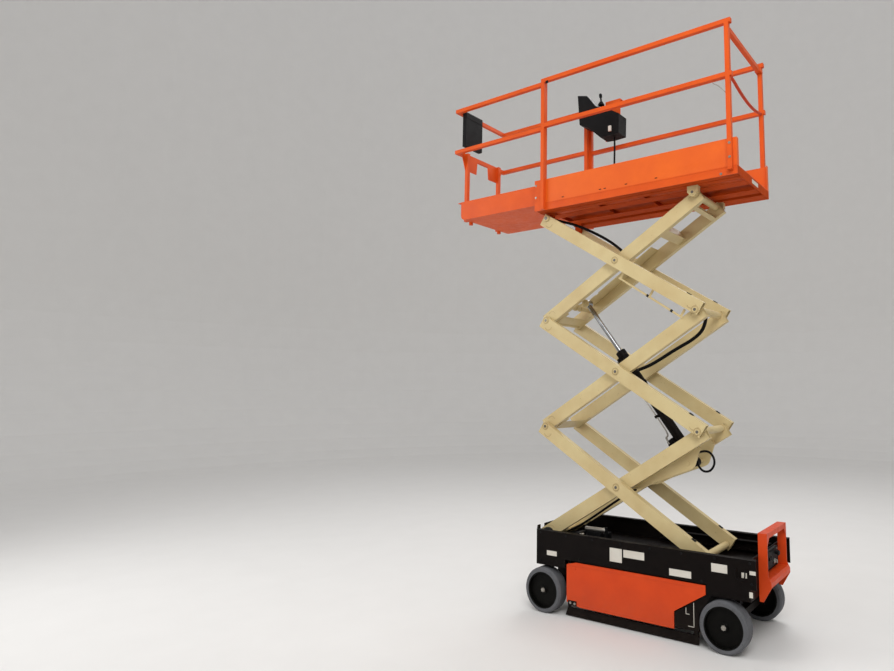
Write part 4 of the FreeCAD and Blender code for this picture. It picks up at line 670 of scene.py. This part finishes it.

# %% [markdown]
# Across the rear of the platform hangs a chain in an orange sleeve, below the hinged bar. It is a
# real slack line: fixed at both posts and lowest in the middle, so it is one smooth curve.

# %% Sleeved chain
def cord(name, body, route, diameter, look):
    """One free line through control points, with a round section."""
    curve = bpy.data.curves.new(name, "CURVE")
    curve.dimensions = "3D"
    curve.bevel_depth = diameter / 2
    curve.bevel_resolution = 4
    curve.use_fill_caps = True
    run = curve.splines.new("NURBS")
    run.points.add(len(route) - 1)
    for point, place in zip(run.points, route):
        point.co = (*place, 1)
    run.order_u = 3
    run.use_endpoint_u = True
    run.resolution_u = 10
    curve.materials.append(FINISHES[look])
    thing = bpy.data.objects.new(name, curve)
    bpy.context.scene.collection.objects.link(thing)
    data = curve.copy()
    data.bevel_depth = 0
    probe = bpy.data.objects.new("probe", data)
    bpy.context.scene.collection.objects.link(probe)
    flat = bpy.data.meshes.new_from_object(probe.evaluated_get(bpy.context.evaluated_depsgraph_get()))
    bpy.data.objects.remove(probe)
    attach(thing, body)
    return thing


CHAIN = [(-1.222, 0.345, 3.786), (-1.226, 0.290, 3.775), (-1.230, 0.180, 3.742), (-1.232, 0.070, 3.722),
         (-1.232, -0.060, 3.716), (-1.230, -0.180, 3.726), (-1.226, -0.290, 3.752), (-1.222, -0.345, 3.766)]
cord("rear_chain", "platform", CHAIN, 0.022, "orange_sleeve")

# %% [markdown]
# Black hoses feed the cylinder and the platform's controls. Inside the stack they hang in loose bends
# from one cross tube to the next. Each is a cord through a few control points, thick and stiff enough
# that no bend is tighter than four diameters.

# %% Hoses in the stack
HOSES = [
    # name, body, diameter, route
    ("feed_hose", "inner_frame_2", 0.026, [
        (-0.895, 0.050, 2.160), (-0.885, 0.050, 2.085), (-0.800, 0.045, 2.010), (-0.650, 0.040, 1.940),
        (-0.500, 0.030, 1.860), (-0.400, 0.020, 1.815), (-0.330, 0.020, 1.795)]),
    ("platform_bundle", "outer_frame_3", 0.022, [
        (0.340, 0.205, 3.030), (0.240, 0.160, 3.005), (0.107, 0.120, 2.948),
        (-0.078, 0.110, 2.846), (-0.220, 0.130, 2.745), (-0.285, 0.168, 2.690)]),
    ("base_hose", "inner_frame_1", 0.018, [
        (-0.317, 0.060, 0.900), (-0.240, 0.060, 0.860), (-0.100, 0.060, 0.770),
        (0.060, 0.060, 0.660), (0.220, 0.060, 0.560), (0.330, 0.060, 0.520)]),
    ("barrel_coil", "inner_frame_1", 0.016, [
        (-0.798, 0.030, 1.120), (-0.830, 0.050, 1.068), (-0.910, 0.065, 1.068), (-0.950, 0.065, 1.138),
        (-0.910, 0.055, 1.208), (-0.830, 0.040, 1.208), (-0.770, 0.030, 1.175)]),
]
for name, body, diameter, route in HOSES:
    cord(name, body, route, diameter, "black_rubber")

# %% [markdown]
# A cream channel hangs under the left outer arm of the top frame and carries its lines; two black clips
# hold the cover. It is stiff sheet, so it is built of blocks laid in the slope of the arm.

# %% Line channel


def under_arm(p):
    return on_arm(3, "outer", p.x, p.z, p.y)


channel = Pieces().block((0.067, 0.2246, -0.109), (0.687, 0.2266, -0.094), 0.0006, under_arm)
for along in (0.085, 0.380, 0.670):
    channel.block((along - 0.010, 0.2250, -0.108), (along + 0.010, 0.2265, -0.040), 0.0004, under_arm)
channel.make("line_channel", "outer_frame_3", "cream_enamel", "cream_paint")
clips = Pieces()
for along in (0.170, 0.398):
    clips.block((along - 0.010, 0.2242, -0.111), (along + 0.010, 0.2269, -0.091), 0.0006, under_arm)
clips.make("channel_clips", "outer_frame_3", "black_plastic_skin", "black_plastic")

# %% [markdown]
# The upper controls hang on the right rail at the front: a black console with a lever in a rubber boot,
# a pale connector on its side and a cable that runs down to the deck.

# %% Upper controls
box_low, box_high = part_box("control_box")
print("control box", [round(v, 3) for v in box_low], [round(v, 3) for v in box_high])
middle = (box_low.y + box_high.y) / 2
boot = Pieces()
boot.turned((0.150, middle, 4.140), (0, 0, 1),
            [(0, 0.030), (0.010, 0.028), (0.014, 0.024), (0.020, 0.022), (0.024, 0.018), (0.030, 0.016), (0.034, 0.011)], 28)
boot.turned((0.150, middle, 4.170), (0.1, 0, 1),
            [(0, 0.008), (0.040, 0.008), (0.046, 0.013), (0.070, 0.014), (0.078, 0.010)], 20)
boot.make("control_lever", "platform", "black_rubber", "black_plastic", True)
plug = Pieces().block((0.006, box_high.y, 3.845), (0.034, box_high.y + 0.016, 3.895), 0.003)
plug.make("control_plug", "platform", "blank_label", "black_plastic")
cord("control_cable", "platform",
     [(0.018, middle, 3.860), (0.014, middle, 3.740), (0.020, middle, 3.600),
      (0.030, middle - 0.02, 3.450), (0.034, middle - 0.07, 3.300), (0.034, -0.326, 3.215)], 0.016, "black_rubber")

# %% [markdown]
# The document box is a plain moulding with a lid band round its top.

# %% Document box lid
low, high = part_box("document_box")
lid = Pieces().block((low.x - 0.002, low.y - 0.002, high.z - 0.055),
                     (high.x + 0.002, high.y + 0.002, high.z - 0.006), 0.003)
lid.make("document_lid", "platform", "black_plastic_skin", "black_plastic")

# %% [markdown]
# Closed sheets run along the underside of the deck beside the slide tracks; their darker orange is
# painted shade. A folded lip lies on each side of the deck edge, and one blank plate is stuck on its rear edge.

# %% Underside sheets and deck edge
sheets = Pieces()
for y0, y1 in ((-0.340, -0.279), (-0.170, -0.064), (0.064, 0.170), (0.279, 0.340)):
    sheets.block((-1.250, y0, 3.0835), (0.430, y1, 3.0860), 0.0006)
# The sheets take the darker copy of the deck's orange: painted shade for the underside.
sheets.make("deck_sheets", "platform", "deck_painted_shade", "orange_paint")
lip = Pieces()
for y0, y1 in ((0.3500, 0.3520), (-0.3520, -0.3500)):
    lip.block((-1.240, y0, 3.134), (0.420, y1, 3.141), 0.0008)
lip.make("deck_lip", "platform", "rail_enamel", "orange_paint")
low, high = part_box("deck_floor")
plate = Pieces().block((low.x - 0.0012, -0.087, 3.097), (low.x, 0.046, 3.127), 0.0004)
plate.make("deck_plate", "platform", "blank_label", "orange_paint")

# %% [markdown]
# A row of small slanted marks is pressed into the deck edge below each toe board, and round bosses with a
# dark hole close the pins where the outer arms meet the deck in front. A thin bright stay braces the
# rear post to the middle rail.

# %% Pressed marks and bosses
MARK_START, MARK_STEP, MARK_COUNT = -1.150, 0.018, 84
marks = Pieces()
for count in range(MARK_COUNT):
    for sign in (1, -1):
        at = Vector((MARK_START + MARK_STEP * count, sign * 0.3504, 3.117))
        lean = Matrix.Rotation(math.radians(28), 3, "Y")
        marks.block((-0.0028, -0.0006, -0.011), (0.0028, 0.0006, 0.011), 0.0003, lambda p: at + lean @ p)
marks.make("deck_marks", "platform", "rail_enamel", "orange_paint")
bosses = Pieces()
holes = Pieces()
for sign in (1, -1):
    at = on_arm(3, "outer", SPAN, 0.0, sign * OUTER_FACE_Y)
    bosses.turned(at, (0, sign, 0), [(0, 0.027), (0.008, 0.027), (0.011, 0.024), (0.012, 0.016)], 32)
    holes.turned(at, (0, sign, 0), [(0.0100, 0.0155), (0.0125, 0.0150), (0.0127, 0.0100)], 24)
bosses.make("deck_bosses", "outer_frame_3", "cream_enamel", "cream_paint", True)
holes.make("deck_boss_holes", "outer_frame_3", "worn_steel", "cream_paint", True)
stay = Pieces().pipe([(-1.109, 0.366, 3.747), (-1.157, 0.366, 3.708), (-1.2, 0.366, 3.655)], 0.003, 10, 4)
stay.make("rail_stay", "platform", "plated_steel", "bare_steel", True)

# %% [markdown]
# A plated motor lies across the tray beside the valves, on a saddle, with a dark plate at its rear end, and a
# round black knob stands in the front corner. Both are readings of dark shapes in the photograph.

# %% Motor and knob
motor = Pieces().turned((-0.086, 0.120, 0.583), (1, 0, 0),
                        [(0, 0.015), (0.003, 0.017), (0.176, 0.017), (0.180, 0.013)], 32)
motor.make("tray_motor", "chassis", "plated_steel", "bare_steel", True)
saddle = Pieces().block((-0.050, 0.100, DECK_Z), (0.070, 0.140, 0.569), 0.003)
saddle.block((-0.098, 0.105, DECK_Z), (-0.084, 0.135, 0.608), 0.003)
saddle.make("tray_motor_saddle", "chassis", "black_plastic_skin", "black_plastic")
knob = Pieces()
knob.turned((0.304, 0.326, DECK_Z), (0, 0, 1),
            [(0, 0.018), (0.085, 0.018), (0.090, 0.040), (0.110, 0.042), (0.128, 0.034), (0.138, 0.016)], 36)
knob.make("tray_knob", "chassis", "black_plastic_skin", "black_plastic", True)

# %% [markdown]
# The stage is a pale round floor that curves up into a pale wall all the way round, far enough off to
# stay plain from every side. Broad lamps and an even world light the machine softly; the camera alone
# sees the world as white.

# %% Floor, light and world
def stage_finish():
    made = bpy.data.materials.new("studio_floor")
    made.use_nodes = True
    tree = made.node_tree
    shader = tree.nodes["Principled BSDF"]
    where = tree.nodes.new("ShaderNodeTexCoord").outputs["Object"]
    grain = noise(tree, where, 3, 3)
    shade = blend(tree, grain.outputs["Fac"], (0.80, 0.79, 0.77, 1), (0.84, 0.83, 0.81, 1))
    tree.links.new(shade, shader.inputs["Base Color"])
    shader.inputs["Roughness"].default_value = 0.85
    return made


floor = bpy.data.meshes.new("studio_floor")
ROOM, BEND, WALL_TOP, AROUND = 11.0, 4.0, 16.0, 96
profile = [(ROOM, 0.0)]
profile += [(ROOM + BEND * math.sin(a), BEND - BEND * math.cos(a))
            for a in (math.radians(9 * k) for k in range(1, 11))]
profile += [(ROOM + BEND, WALL_TOP)]
turns = [math.tau * k / AROUND for k in range(AROUND)]
ring = [(r * math.cos(t), r * math.sin(t), z) for r, z in profile for t in turns]
faces = [(AROUND * row + k, AROUND * row + (k + 1) % AROUND,
          AROUND * (row + 1) + (k + 1) % AROUND, AROUND * (row + 1) + k)
         for row in range(len(profile) - 1) for k in range(AROUND)]
floor.from_pydata(ring, [], [tuple(reversed(f)) for f in faces] + [tuple(range(AROUND))])
floor_thing = bpy.data.objects.new("studio_floor", floor)
floor_thing.data.materials.append(stage_finish())
bpy.context.scene.collection.objects.link(floor_thing)


def lamp(name, place, aim, power, size):
    data = bpy.data.lights.new(name, "AREA")
    data.energy = power
    data.size = size
    thing = bpy.data.objects.new(name, data)
    thing.location = place
    thing.rotation_euler = (Vector(aim) - Vector(place)).to_track_quat("-Z", "Y").to_euler()
    bpy.context.scene.collection.objects.link(thing)


lamp("key_lamp", (-3.5, 5.0, 6.0), (-0.2, 0, 1.6), 260, 3.5)
lamp("fill_lamp", (4.5, 4.0, 3.5), (0, 0, 1.8), 95, 3.0)
lamp("back_lamp", (0.5, -4.0, 6.5), (0, 0, 2.0), 130, 3.0)
world = bpy.data.worlds.new("studio")
bpy.context.scene.world = world
world.use_nodes = True
tree = world.node_tree
background = tree.nodes["Background"]
rays = tree.nodes.new("ShaderNodeLightPath")
both = tree.nodes.new("ShaderNodeMath")
both.operation = "MAXIMUM"
tree.links.new(rays.outputs["Is Camera Ray"], both.inputs[0])
tree.links.new(rays.outputs["Is Glossy Ray"], both.inputs[1])
strength = tree.nodes.new("ShaderNodeMapRange")
strength.inputs["To Min"].default_value = 0.62
strength.inputs["To Max"].default_value = 1.0
tree.links.new(both.outputs[0], strength.inputs["Value"])
tree.links.new(strength.outputs["Result"], background.inputs["Strength"])
background.inputs["Color"].default_value = (0.98, 0.98, 1.0, 1)

# %% [markdown]
# The camera stands where the photograph was taken: low, near the rear left wheel, and looks slightly
# up. Its place, turn and lens came from matching known edges; the shift keeps the picture's middle.

# %% Camera
EYE = Vector((-2.62395, 4.35550, 1.63518))
YAW, PITCH = -0.993123, 0.112242
FOCAL_PX, CENTRE_X, CENTRE_Y = 633.5355, 581.0623, 319.1771
WIDE, TALL = 894, 671
SENSOR = 36
ahead = Vector((math.cos(PITCH) * math.cos(YAW), math.cos(PITCH) * math.sin(YAW), math.sin(PITCH)))
right = ahead.cross(Vector((0, 0, 1))).normalized()
above = right.cross(ahead)
view = bpy.data.cameras.new("photo_view")
view.sensor_width = SENSOR
view.lens = FOCAL_PX * SENSOR / WIDE
view.shift_x = (WIDE / 2 - CENTRE_X) / WIDE
view.shift_y = (CENTRE_Y - TALL / 2) / WIDE
camera = bpy.data.objects.new("photo_view", view)
camera.matrix_world = Matrix((
    (right.x, above.x, -ahead.x, EYE.x), (right.y, above.y, -ahead.y, EYE.y),
    (right.z, above.z, -ahead.z, EYE.z), (0, 0, 0, 1)))
bpy.context.scene.collection.objects.link(camera)
bpy.context.scene.camera = camera
bpy.context.scene.view_settings.view_transform = "Standard"
print("lens", round(view.lens, 3), "shift", round(view.shift_x, 4), round(view.shift_y, 4))
